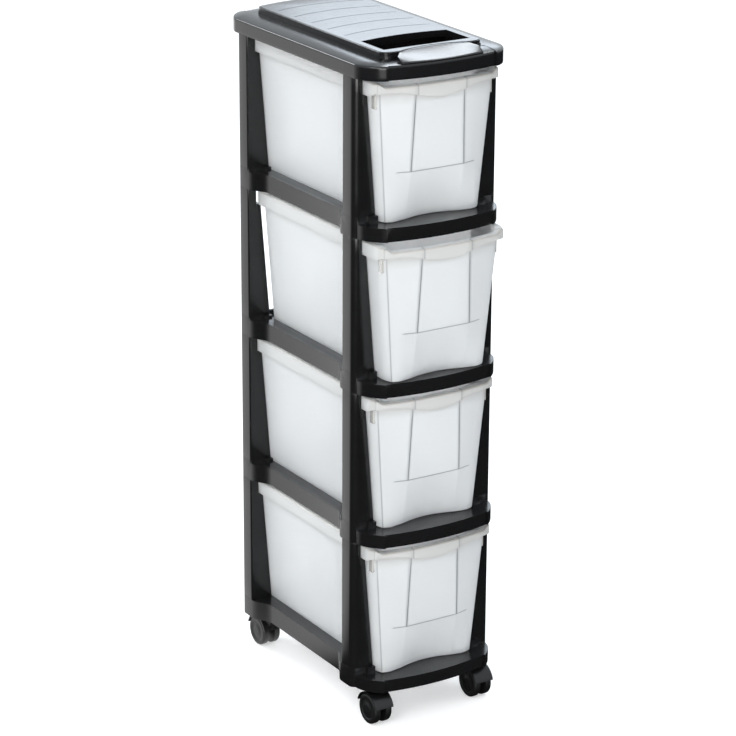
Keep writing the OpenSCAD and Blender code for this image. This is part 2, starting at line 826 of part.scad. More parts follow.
// One wheel: rounded tread, dished outer face, blind bore from the inner side.
module caster_wheel(corner, side) {
  bore = axle_r + run_gap;
  round_r = 2.6;
  dish = 0.8;
  color(black)
    at_caster(corner)
      mirror([side < 0 ? 1 : 0, 0, 0])
        at_axle(wheel_gap / 2)
          rotate_extrude($fn = 72)
            polygon(concat(
              [[bore, 0], [bore, blind_l], [0, blind_l], [0, wheel_w - dish]],
              [[wheel_r * 0.62, wheel_w - dish], [wheel_r * 0.7, wheel_w]],
              arc(wheel_r - round_r, wheel_w - round_r, round_r, 90, 0, 5),
              [[wheel_r, 0.8], [wheel_r - 0.8, 0]]
            ));
}

// ---- Nodes -------------------------------------------------------------------------------

base_frame();
for (i = [0:2])
  shelf(i + 1);
top_frame();
top_panel();
hand_well();
grip_bar();
for (i = [0:3])
  drawer(i);
for (i = [0:3])
  for (j = [0:3])
    post(i, j);
for (j = [0:3]) {
  caster_hood(j);
  caster_axle(j);
  caster_wheel(j, -1);
  caster_wheel(j, 1);
}
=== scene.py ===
"""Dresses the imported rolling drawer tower: smooth shells, frosted drawers, black frames, studio and camera.

Everything is in metres and in the row frame: +Z up, the drawers open towards -Y, the floor at z = 0.
"""

import logging
import math
from dataclasses import dataclass, field
from enum import Enum

import bmesh
import bpy
import numpy as np
from mathutils import Matrix, Vector


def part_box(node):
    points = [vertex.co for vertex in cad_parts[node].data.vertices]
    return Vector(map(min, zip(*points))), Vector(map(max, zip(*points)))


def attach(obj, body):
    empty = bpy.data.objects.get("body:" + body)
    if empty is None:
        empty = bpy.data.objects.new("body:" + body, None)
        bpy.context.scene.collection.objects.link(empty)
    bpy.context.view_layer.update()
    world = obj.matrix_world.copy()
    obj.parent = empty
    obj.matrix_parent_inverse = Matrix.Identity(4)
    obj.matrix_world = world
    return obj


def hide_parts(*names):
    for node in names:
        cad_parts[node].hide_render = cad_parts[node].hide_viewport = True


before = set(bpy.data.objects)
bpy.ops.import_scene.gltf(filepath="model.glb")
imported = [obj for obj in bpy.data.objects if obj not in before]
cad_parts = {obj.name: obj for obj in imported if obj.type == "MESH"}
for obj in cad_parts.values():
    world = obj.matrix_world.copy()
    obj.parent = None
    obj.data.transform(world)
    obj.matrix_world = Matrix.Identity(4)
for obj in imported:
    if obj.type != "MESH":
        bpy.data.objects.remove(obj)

logging.basicConfig(level=logging.INFO, format="%(message)s")
LOG = logging.getLogger("drawer_tower")
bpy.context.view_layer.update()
MM = 0.001
BODY = "tower"
SMOOTH_ANGLE = 40.0
Surface = tuple[np.ndarray, np.ndarray, np.ndarray]


class Level(Enum):
    """The four storeys of the tower, from the floor up."""

    BOTTOM = "bottom"
    LOWER = "lower"
    UPPER = "upper"
    TOP = "top"


class Corner(Enum):
    """The corners of the tower: name, and the signs of x and y seen from its middle."""

    FRONT_LEFT = ("front_left", -1, -1)
    FRONT_RIGHT = ("front_right", 1, -1)
    REAR_LEFT = ("rear_left", -1, 1)
    REAR_RIGHT = ("rear_right", 1, 1)

    @property
    def label(self) -> str:
        """The corner's name in the frame."""
        return self.value[0]

    @property
    def signs(self) -> tuple[int, int]:
        """The signs of x and y at this corner."""
        return self.value[1], self.value[2]


# ---- Meshes ---------------------------------------------------------------------------------


def smoothstep(t: np.ndarray) -> np.ndarray:
    """Eases from 0 to 1: three times the square less twice the cube, clamped."""
    t = np.clip(t, 0.0, 1.0)
    return t * t * (3.0 - 2.0 * t)


def arc_radius(chord: float, rise: float) -> float:
    """Radius of the circle arc over a half chord that rises by rise in its middle."""
    return (chord ** 2 + rise ** 2) / (2.0 * rise)


def mirrored_loop(half: np.ndarray) -> np.ndarray:
    """Closes the right half of a plan with its mirror image in x, points on the middle plane kept once."""
    off_middle = half[half[:, 0] > 1e-6]
    return np.concatenate([half, off_middle[::-1] * np.array([-1.0, 1.0])])


def blended_loop(corners: np.ndarray, cuts: np.ndarray, steps: list[int], runs: list[int]) -> np.ndarray:
    """Rounds the corners of closed plans by parabolas and divides the straight runs between them.

    A parabola starts one cut before its corner and ends one cut after it: (1-t)^2 p + 2t(1-t) b + t^2 q.

    Args:
        corners: Plans' corners, shaped plans x corners x 2.
        cuts: Length of each corner's cut.
        steps: Chords in each corner's parabola, 0 for a plain corner.
        runs: Number of parts of the straight run after each corner.
    Returns:
        An array shaped plans x points x 2.
    """
    before = np.roll(corners, 1, axis=1) - corners
    after = np.roll(corners, -1, axis=1) - corners
    length_before = np.linalg.norm(before, axis=2, keepdims=True)
    length_after = np.linalg.norm(after, axis=2, keepdims=True)
    cut = cuts[None, :, None]
    p = corners + before / length_before * np.minimum(cut, 0.45 * length_before)
    q = corners + after / length_after * np.minimum(cut, 0.45 * length_after)
    blocks = []
    for i, (bends, parts) in enumerate(zip(steps, runs)):
        t = np.linspace(0.0, 1.0, bends + 1)[None, :, None] if bends else np.full((1, 1, 1), 0.5)
        start, peak, end = p[:, i:i + 1], corners[:, i:i + 1], q[:, i:i + 1]
        if bends:
            blocks.append((1 - t) ** 2 * start + 2 * t * (1 - t) * peak + t ** 2 * end)
        else:
            blocks.append(peak)
            end = peak
        following = (i + 1) % corners.shape[1]
        goal = p[:, following:following + 1] if steps[following] else corners[:, following:following + 1]
        share = (np.arange(1, parts) / parts)[None, :, None]
        blocks.append(end + (goal - end) * share)
    return np.concatenate(blocks, axis=1)


def grid_quads(rows: int, columns: int, close_rows: bool) -> np.ndarray:
    """Quads of a grid whose columns close on themselves, and whose rows do so if asked."""
    row = np.arange(rows if close_rows else rows - 1)[:, None]
    column = np.arange(columns)[None, :]
    following, onward = (row + 1) % rows, (column + 1) % columns
    here, ahead = row * columns, following * columns
    quads = np.stack([here + column, here + onward, ahead + onward, ahead + column], axis=-1)
    return quads.reshape(-1, 4)


def build_mesh(name: str, vertices: np.ndarray, quads: np.ndarray, triangles: np.ndarray) -> bpy.types.Mesh:
    """Puts vertices, quads and triangles into a mesh whose faces point outwards.

    The sign of the volume, a sixth of the sum of the triple products of the faces' corners, tells whether
    the faces have to be turned round.

    Args:
        name: The mesh's name.
        vertices: Points, shaped count x 3.
        quads: Four-cornered faces.
        triangles: Three-cornered faces.
    Returns:
        The new mesh.
    """
    fans = np.concatenate([quads[:, [0, 1, 2]], quads[:, [0, 2, 3]], triangles]) if len(quads) else triangles
    a, b, c = (vertices[fans[:, k]] for k in range(3))
    if np.einsum("ij,ij->i", a, np.cross(b, c)).sum() < 0:
        quads, triangles = quads[:, ::-1], triangles[:, ::-1]
    mesh = bpy.data.meshes.new(name)
    loops = np.concatenate([quads.ravel(), triangles.ravel()]).astype(np.int32)
    sizes = np.concatenate([np.full(len(quads), 4), np.full(len(triangles), 3)]).astype(np.int32)
    mesh.vertices.add(len(vertices))
    mesh.vertices.foreach_set("co", vertices.astype(np.float32).ravel())
    mesh.loops.add(len(loops))
    mesh.loops.foreach_set("vertex_index", loops)
    mesh.polygons.add(len(sizes))
    mesh.polygons.foreach_set("loop_start", np.concatenate([[0], np.cumsum(sizes)[:-1]]).astype(np.int32))
    mesh.update(calc_edges=True)
    mesh.validate()
    return mesh


def soften(mesh: bpy.types.Mesh, angle: float) -> None:
    """Shades a mesh smooth, with sharp edges where its faces meet at more than the angle in degrees."""
    mesh.polygons.foreach_set("use_smooth", np.ones(len(mesh.polygons), dtype=bool))
    mesh.set_sharp_from_angle(angle=math.radians(angle))


def loft(rings: np.ndarray, closed: bool = False) -> Surface:
    """A closed surface through rings of points: point (row, column) is joined to its four neighbours.

    An open stack of rings is shut at both ends by fans about the mean point of the end ring.

    Args:
        rings: Points, shaped rings x points x 3.
        closed: Whether the last ring joins the first.
    Returns:
        Vertices, quads and triangles.
    """
    rows, columns, _ = rings.shape
    vertices = rings.reshape(-1, 3)
    quads = grid_quads(rows, columns, closed)
    if closed:
        return vertices, quads, np.zeros((0, 3), dtype=int)
    here = np.arange(columns)
    onward = (here + 1) % columns
    last = (rows - 1) * columns
    poles = np.stack([rings[0].mean(axis=0), rings[-1].mean(axis=0)])
    first_fan = np.stack([onward, here, np.full(columns, len(vertices))], axis=1)
    last_fan = np.stack([last + here, last + onward, np.full(columns, len(vertices) + 1)], axis=1)
    return np.concatenate([vertices, poles]), quads, np.concatenate([first_fan, last_fan])


def level_ring(points: np.ndarray, z: float) -> np.ndarray:
    """A closed plan as a ring of points at one height."""
    return np.column_stack([points, np.full(len(points), z)])


def joined(shapes: list[Surface]) -> Surface:
    """Several closed surfaces as one set of vertices, quads and triangles."""
    offsets = np.cumsum([0] + [len(s[0]) for s in shapes[:-1]])
    return (
        np.concatenate([s[0] for s in shapes]),
        np.concatenate([s[1] + o for s, o in zip(shapes, offsets)]),
        np.concatenate([s[2] + o for s, o in zip(shapes, offsets)]),
    )


def add_piece(name: str, mesh: bpy.types.Mesh, body: str, material: bpy.types.Material,
              node: str) -> bpy.types.Object:
    """Adds a finished mesh as a piece of the object.

    Args:
        name: The piece's name.
        mesh: Its mesh, already in place.
        body: The CAD body that it rides on.
        material: Its material.
        node: The CAD node that it stands for.
    Returns:
        The new object.
    """
    piece = bpy.data.objects.new(name, mesh)
    bpy.context.scene.collection.objects.link(piece)
    mesh.materials.append(material)
    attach(piece, body)
    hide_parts(node)
    LOG.info("%s: %d faces, rides on %s", name, len(mesh.polygons), body)
    return piece


def add_shell(name: str, surface: Surface, body: str, material: bpy.types.Material,
              node: str) -> bpy.types.Object:
    """Adds a smooth surface as a piece of the object: as add_piece, with a surface in place of a mesh."""
    mesh = build_mesh(name, *surface)
    soften(mesh, SMOOTH_ANGLE)
    return add_piece(name, mesh, body, material, node)


def merged_copy(node: str) -> bpy.types.Mesh:
    """A copy of a CAD node's mesh with its loose triangles joined and its flat faces dissolved."""
    bm = bmesh.new()
    bm.from_mesh(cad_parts[node].data)
    bmesh.ops.remove_doubles(bm, verts=bm.verts, dist=2e-6)
    bmesh.ops.dissolve_limit(bm, angle_limit=math.radians(0.5), verts=bm.verts, edges=bm.edges)
    mesh = bpy.data.meshes.new(node + "_shell")
    bm.to_mesh(mesh)
    bm.free()
    return mesh


def add_bevel(piece: bpy.types.Object, width: float, angle: float, segments: int = 2) -> None:
    """Rounds a piece's edges that are sharper than the angle in degrees, with a Bevel modifier."""
    bevel = piece.modifiers.new("rounded_edges", "BEVEL")
    bevel.width = width
    bevel.segments = segments
    bevel.limit_method = "ANGLE"
    bevel.angle_limit = math.radians(angle)
    bevel.use_clamp_overlap = True
    bevel.harden_normals = True


# ---- Node groups and finishes ------------------------------------------------------------------


def new_group(name: str, inputs: list[tuple[str, str, object]],
              outputs: list[tuple[str, str]]) -> bpy.types.NodeTree:
    """A shader node group with named sockets.

    Args:
        name: The group's name.
        inputs: Name, socket type and default of each input.
        outputs: Name and socket type of each output.
    Returns:
        The group, with its input and output nodes made.
    """
    group = bpy.data.node_groups.new(name, "ShaderNodeTree")
    for label, kind, default in inputs:
        socket = group.interface.new_socket(name=label, in_out="INPUT", socket_type=kind)
        socket.default_value = default
    for label, kind in outputs:
        group.interface.new_socket(name=label, in_out="OUTPUT", socket_type=kind)
    group.nodes.new("NodeGroupInput").name = "in"
    group.nodes.new("NodeGroupOutput").name = "out"
    return group


def put(tree: bpy.types.NodeTree, target: bpy.types.NodeSocket, value: object) -> None:
    """Links an output socket to the target, or sets the target to a plain value."""
    if isinstance(value, bpy.types.NodeSocket):
        tree.links.new(value, target)
    else:
        target.default_value = value


def math_node(tree: bpy.types.NodeTree, operation: str, *values: object) -> bpy.types.NodeSocket:
    """The result of a sum on numbers or sockets."""
    node = tree.nodes.new("ShaderNodeMath")
    node.operation = operation
    for socket, value in zip(node.inputs, values):
        put(tree, socket, value)
    return node.outputs["Value"]


def mix_node(tree: bpy.types.NodeTree, share: bpy.types.NodeSocket, first: object,
             second: object) -> bpy.types.NodeSocket:
    """Two colours mixed by a share: the first at 0, the second at 1."""
    node = tree.nodes.new("ShaderNodeMix")
    node.data_type = "RGBA"
    factor, colours = node.inputs[0], (node.inputs[6], node.inputs[7])
    put(tree, factor, share)
    for socket, value in zip(colours, (first, second)):
        put(tree, socket, value)
    return node.outputs[2]


def noise_node(tree: bpy.types.NodeTree, place: bpy.types.NodeSocket, scale: object, detail: float,
               roughness: float) -> bpy.types.NodeSocket:
    """A noise over the place, with its scale, detail and roughness set."""
    node = tree.nodes.new("ShaderNodeTexNoise")
    put(tree, node.inputs["Vector"], place)
    put(tree, node.inputs["Scale"], scale)
    node.inputs["Detail"].default_value = detail
    node.inputs["Roughness"].default_value = roughness
    return node.outputs["Fac"]


def range_node(tree: bpy.types.NodeTree, value: bpy.types.NodeSocket, low: float,
               high: float) -> bpy.types.NodeSocket:
    """Maps the middle of a noise, 0.3 to 0.7, onto low to high."""
    node = tree.nodes.new("ShaderNodeMapRange")
    put(tree, node.inputs["Value"], value)
    for label, bound in (("From Min", 0.3), ("From Max", 0.7), ("To Min", low), ("To Max", high)):
        node.inputs[label].default_value = bound
    return node.outputs["Result"]


SLOW_SCALE = 9.0
SMEAR_SCALE = 28.0


def moulded_group() -> bpy.types.NodeTree:
    """Moulded plastic: a slow drift of shade, smudges in the roughness and a fine grain in the height.

    Inputs are the base colour, the grain's scale, how far the shade drifts and the roughness; outputs are
    the colour, the roughness and the height.
    """
    group = new_group(
        "MouldedPlastic",
        [("Base", "NodeSocketColor", (0.05, 0.05, 0.05, 1.0)), ("Grain Scale", "NodeSocketFloat", 900.0),
         ("Drift", "NodeSocketFloat", 0.15), ("Gloss", "NodeSocketFloat", 0.2),
         ("Smudge", "NodeSocketFloat", 0.08)],
        [("Color", "NodeSocketColor"), ("Roughness", "NodeSocketFloat"), ("Height", "NodeSocketFloat")],
    )
    source, sink = group.nodes["in"].outputs, group.nodes["out"].inputs
    place = group.nodes.new("ShaderNodeTexCoord").outputs["Object"]
    slow = range_node(group, noise_node(group, place, SLOW_SCALE, 2.0, 0.5), -1.0, 1.0)
    tint = group.nodes.new("ShaderNodeVectorMath")
    tint.operation = "SCALE"
    put(group, tint.inputs[0], source["Base"])
    put(group, tint.inputs["Scale"], math_node(group, "MULTIPLY_ADD", slow, source["Drift"], 1.0))
    put(group, sink["Color"], tint.outputs["Vector"])
    smear = range_node(group, noise_node(group, place, SMEAR_SCALE, 4.0, 0.6), 0.0, 1.0)
    put(group, sink["Roughness"], math_node(group, "MULTIPLY_ADD", smear, source["Smudge"], source["Gloss"]))
    put(group, sink["Height"], noise_node(group, place, source["Grain Scale"], 2.0, 0.5))
    return group


@dataclass(frozen=True)
class MouldedFinish:
    """An opaque moulded plastic or metal finish."""

    name: str
    base: tuple[float, float, float]
    gloss: float = 0.22
    smudge: float = 0.08
    drift: float = 0.12
    grain_scale: float = 1400.0
    grain_depth: float = 0.02
    metallic: float = 0.0
    ior: float = 1.5

    def material(self, group: bpy.types.NodeTree) -> bpy.types.Material:
        """Makes the material.

        Args:
            group: The moulded-plastic node group.
        Returns:
            The new material.
        """
        material = bpy.data.materials.new(self.name)
        material.use_nodes = True
        tree = material.node_tree
        shader = tree.nodes["Principled BSDF"]
        effect = tree.nodes.new("ShaderNodeGroup")
        effect.node_tree = group
        for label, value in (("Base", (*self.base, 1.0)), ("Grain Scale", self.grain_scale),
                             ("Drift", self.drift), ("Gloss", self.gloss), ("Smudge", self.smudge)):
            effect.inputs[label].default_value = value
        bump = tree.nodes.new("ShaderNodeBump")
        bump.inputs["Strength"].default_value = self.grain_depth
        bump.inputs["Distance"].default_value = MM
        put(tree, bump.inputs["Height"], effect.outputs["Height"])
        put(tree, shader.inputs["Base Color"], self.coloured(tree, effect.outputs["Color"]))
        put(tree, shader.inputs["Roughness"], effect.outputs["Roughness"])
        put(tree, shader.inputs["Normal"], bump.outputs["Normal"])
        shader.inputs["Metallic"].default_value = self.metallic
        shader.inputs["IOR"].default_value = self.ior
        self.complete(shader)
        return material

    def coloured(self, tree: bpy.types.NodeTree, colour: bpy.types.NodeSocket) -> bpy.types.NodeSocket:
        """The colour as it is."""
        return colour

    def complete(self, shader: bpy.types.Node) -> None:
        """Sets nothing more."""


@dataclass(frozen=True)
class FrostedFinish(MouldedFinish):
    """Milky translucent plastic: partly see-through, painted shade on its creases, warm tint of thicker
    plastic and painted warm light.
    """

    name: str = "FrostedPlastic"
    base: tuple[float, float, float] = (0.965, 0.975, 0.98)
    # painted shade: dark grey laid along the front's creases, where each fold shades itself
    line: tuple[float, float, float] = (0.13, 0.135, 0.15)
    # warm tint: partly the thicker plastic's own colour, partly painted warm light on the front lip
    thick_and_warm_light: tuple[float, float, float] = (0.7, 0.675, 0.63)
    gloss: float = 0.38
    smudge: float = 0.1
    drift: float = 0.015
    grain_scale: float = 700.0
    grain_depth: float = 0.03
    transmission: float = 0.6
    ior: float = 1.25

    def coloured(self, tree: bpy.types.NodeTree, colour: bpy.types.NodeSocket) -> bpy.types.NodeSocket:
        """Mixes in the warm tint (thicker plastic and painted warm light) and the painted crease shade."""
        # each mask mixes in its colour: the warm tint, and the painted crease shade
        for mask, tint in (("thick_and_warm_light", self.thick_and_warm_light), ("crease", self.line)):
            share = tree.nodes.new("ShaderNodeAttribute")
            share.attribute_name = mask
            colour = mix_node(tree, share.outputs["Fac"], colour, (*tint, 1.0))
        return colour

    def complete(self, shader: bpy.types.Node) -> None:
        """Lets light through."""
        shader.inputs["Transmission Weight"].default_value = self.transmission


FRAME_BLACK = MouldedFinish("FrameBlack", (0.0055, 0.0055, 0.0058), gloss=0.17)
LID_BLACK = MouldedFinish(
    "LidBlack", (0.006, 0.006, 0.0065), gloss=0.2, smudge=0.02, drift=0.05, grain_depth=0.02,
)
CASTER_BLACK = MouldedFinish("CasterBlack", (0.004, 0.004, 0.0042), gloss=0.3)
WHEEL_BLACK = MouldedFinish(
    "WheelBlack", (0.0035, 0.0035, 0.0037), gloss=0.45, grain_scale=2200.0, grain_depth=0.06,
)
AXLE_STEEL = MouldedFinish("AxleSteel", (0.55, 0.55, 0.56), gloss=0.25, metallic=1.0, grain_depth=0.03)


@dataclass
class Finishes:
    """All materials of the tower, made once."""

    frame_black: bpy.types.Material = field(init=False)
    lid_black: bpy.types.Material = field(init=False)
    frosted: bpy.types.Material = field(init=False)
    caster_black: bpy.types.Material = field(init=False)
    tread: bpy.types.Material = field(init=False)
    steel: bpy.types.Material = field(init=False)

    def __post_init__(self) -> None:
        """Makes every material from its finish."""
        moulded = moulded_group()
        self.frame_black = FRAME_BLACK.material(moulded)
        self.lid_black = LID_BLACK.material(moulded)
        self.frosted = FrostedFinish().material(moulded)
        self.caster_black = CASTER_BLACK.material(moulded)
        self.tread = WHEEL_BLACK.material(moulded)
        self.steel = AXLE_STEEL.material(moulded)


# ---- The tower's plan ---------------------------------------------------------------------------


@dataclass
class Plan:
    """Main planes of the tower, read from the frame, and the sizes that all its sub-assemblies share."""

    post_foot_w: float = 28.4 * MM
    post_neck_w: float = 17.2 * MM
    post_head_w: float = 11.5 * MM
    front_reach: float = 31.0 * MM
    front_bow: float = 5.8 * MM
    crease_in: float = 25.0 * MM
    lid_step: float = 2.6 * MM
    seat_drop: float = 8.0 * MM
    rim_clear: float = 3.0 * MM
    rim_h: float = 16.0 * MM
    corner_power: float = 1.55
    half_w: float = 0.0
    front_y: float = 0.0
    rear_y: float = 0.0
    post_d: float = 0.0
    post_h: float = 156.0 * MM
    levels: dict[Level, float] = field(default_factory=dict)

    def __post_init__(self) -> None:
        """Reads the posts' places from the frame."""
        low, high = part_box("bottom_post_front_left")
        self.half_w = -low[0]
        self.front_y = low[1]
        self.post_d = high[1] - low[1]
        self.rear_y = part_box("bottom_post_rear_left")[1][1]
        self.levels = {level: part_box(level.value + "_post_front_left")[0][2] for level in Level}

    @property
    def mid_y(self) -> float:
        """The plane half way between the front and rear posts."""
        return (self.front_y + self.rear_y) / 2

    @property
    def rim_top(self) -> float:
        """Height of a drawer's rim above its level."""
        return self.post_h - self.rim_clear

    @property
    def rim_low(self) -> float:
        """Height of the rim's lower edge above its level."""
        return self.rim_top - self.rim_h

    @property
    def notch_z(self) -> float:
        """Height above its level where a post is notched for the rims."""
        return self.rim_low - 0.5 * MM

    @property
    def taper(self) -> float:
        """Share by which a post gets narrower upwards."""
        return (self.post_foot_w - self.post_neck_w) / self.notch_z

    def soft_corner(self, x: float, y: float, dx: float, dy: float, steps: int) -> np.ndarray:
        """A full corner: x and y follow powers of cosine and sine, flatter than an ellipse's.

        Args:
            x: Side plane where the corner starts.
            y: Place along y where it starts.
            dx: How far it comes in.
            dy: How far it runs along y.
            steps: Number of chords.
        Returns:
            The corner's points, from the side to the front.
        """
        angle = np.radians(np.linspace(0.0, 90.0, steps + 1))
        power = 2.0 / self.corner_power
        across = x - dx + dx * np.abs(np.cos(angle)) ** power
        along = y + dy * np.abs(np.sin(angle)) ** power
        return np.stack([across, along], axis=1)

    def bow(self, chord: float, y: float, rise: float, direction: float, steps: int) -> np.ndarray:
        """A shallow circle arc from half chord to the middle plane, rise further out along y."""
        radius = arc_radius(chord, rise)
        sweep = math.asin(chord / radius)
        angle = sweep * (1.0 - np.arange(steps + 1) / steps)
        along = y + direction * (rise - radius + radius * np.cos(angle))
        return np.stack([radius * np.sin(angle), along], axis=1)


# ---- Frames and posts ---------------------------------------------------------------------------


@dataclass
class FrameStack:
    """Base frame and the three shelf frames, with their moulded edges rounded."""

    plan: Plan
    finishes: Finishes
    edge: float = 0.7 * MM
    edge_angle: float = 38.0
    nodes: tuple[str, ...] = ("base_frame", "lower_shelf", "middle_shelf", "upper_shelf")

    def build(self) -> None:
        """Rounds the edges of a merged copy of each frame and lets it stand for its node."""
        for node in self.nodes:
            mesh = merged_copy(node)
            soften(mesh, self.edge_angle)
            piece = add_piece(node + "_shell", mesh, BODY, self.finishes.frame_black, node)
            add_bevel(piece, self.edge, self.edge_angle)


@dataclass
class PostSet:
    """Sixteen corner posts: a tapering rounded box with a notch beside the drawers' rims."""

    plan: Plan
    finishes: Finishes
    outer_r: float = 8.0 * MM
    side_r: float = 1.8 * MM
    inner_r: float = 1.4 * MM
    seam: float = 0.6 * MM
    notch_r: float = 0.9 * MM

    def inner_face(self) -> tuple[np.ndarray, np.ndarray, np.ndarray]:
        """Heights up a post, its inner face's x at each and how far all faces are drawn in there."""
        plan = self.plan
        foot = plan.half_w - plan.post_foot_w
        neck = foot + plan.taper * plan.notch_z
        head = plan.half_w - plan.post_head_w
        bend = np.radians(np.linspace(0.0, 90.0, 5))
        seam_z = self.seam * (1.0 - np.cos(bend))
        seam_in = self.seam * (1.0 - np.sin(bend))
        lift = np.linspace(self.seam, plan.notch_z - self.notch_r, 8)[1:]
        notch_z = np.concatenate([
            plan.notch_z - self.notch_r * (1.0 - np.sin(bend)),
            plan.notch_z + self.notch_r * (1.0 - np.cos(bend)),
        ])
        notch_x = np.concatenate([
            neck + self.notch_r * (1.0 - np.cos(bend)),
            head - self.notch_r * (1.0 - np.sin(bend)),
        ])
        z = np.concatenate([seam_z, lift, notch_z, plan.post_h - seam_z[::-1]])
        x = np.concatenate([
            foot + plan.taper * seam_z, foot + plan.taper * lift, notch_x, np.full(len(seam_z), head),
        ])
        inset = np.concatenate([seam_in, np.zeros(len(lift) + len(notch_z)), seam_in[::-1]])
        return z, x, inset

    def surface(self, corner: Corner, base: float) -> Surface:
        """Carries the rounded plan of a post up its height.

        The plan at each height is four quarter circles of fixed radii, between the inner face's x there
        and the side plane, and between the front and rear planes of the post.

        Args:
            corner: Which corner the post stands in.
            base: Height of its foot.
        Returns:
            Vertices, quads and triangles.
        """
        plan = self.plan
        z, inner, inset = self.inner_face()
        quarters = (
            (self.outer_r, -90.0, 1, 0, 10),
            (self.side_r, 0.0, 1, 1, 5),
            (self.inner_r, 90.0, 0, 1, 5),
            (self.inner_r, 180.0, 0, 0, 5),
        )
        blocks = []
        for radius, start, outer, far, steps in quarters:
            angle = np.radians(np.linspace(start, start + 90.0, steps + 1))[None, :]
            edge_x = (plan.half_w - inset) if outer else (inner + inset)
            edge_y = (plan.front_y + plan.post_d - inset) if far else (plan.front_y + inset)
            r = np.maximum(radius - inset, 0.2 * MM)[:, None]
            centre_x = edge_x[:, None] + (-r if outer else r)
            centre_y = edge_y[:, None] + (-r if far else r)
            blocks.append(np.stack([centre_x + r * np.cos(angle), centre_y + r * np.sin(angle)], axis=2))
        plan_rings = np.concatenate(blocks, axis=1)
        heights = np.broadcast_to((base + z)[:, None, None], plan_rings.shape[:2] + (1,))
        rings = np.concatenate([plan_rings, heights], axis=2)
        sign_x, sign_y = corner.signs
        rings[..., 0] *= sign_x
        if sign_y > 0:
            rings[..., 1] = 2.0 * plan.mid_y - rings[..., 1]
        return loft(rings)

    def build(self) -> None:
        """Builds every post and lets it stand for its node."""
        for level in Level:
            for corner in Corner:
                node = f"{level.value}_post_{corner.label}"
                surface = self.surface(corner, self.plan.levels[level])
                add_shell(node + "_shell", surface, BODY, self.finishes.frame_black, node)


# ---- Drawers ------------------------------------------------------------------------------------


class LipLine(Enum):
    """The lines that the lip's heights are measured from."""

    WAVE = "the wavy lower edge"
    EDGE = "the upper edge"
    TOP = "the level top of the rim"


# The lip's section: how far its sides and its front stand out past the wall and how high it lies over its
# line, in millimetres, and its warm tint there: part thicker plastic, part painted warm light.
LIP_SECTION: tuple[tuple[float, float, LipLine, float, float], ...] = (
    (0.0, 0.0, LipLine.WAVE, 0.0, 0.5),
    (0.35, 0.35, LipLine.WAVE, -0.35, 0.5),
    (0.8, 0.8, LipLine.WAVE, -0.5, 0.5),
    (5.2, 4.0, LipLine.WAVE, -0.5, 0.5),
    (5.55, 4.35, LipLine.WAVE, -0.35, 0.5),
    (5.7, 4.5, LipLine.WAVE, 0.1, 0.5),
    (5.7, 4.5, LipLine.EDGE, -2.2, 0.6),
    (5.5, 4.3, LipLine.EDGE, -1.2, 1.1),
    (4.8, 3.6, LipLine.EDGE, -0.45, 1.1),
    (3.6, 2.4, LipLine.EDGE, -0.1, 0.5),
    (2.6, 1.6, LipLine.EDGE, 0.0, 0.0),
    (-1.2, -1.2, LipLine.TOP, 0.0, 0.0),
    (-1.8, -1.8, LipLine.TOP, -0.3, 0.0),
    (-2.0, -2.0, LipLine.TOP, -0.9, 0.0),
)


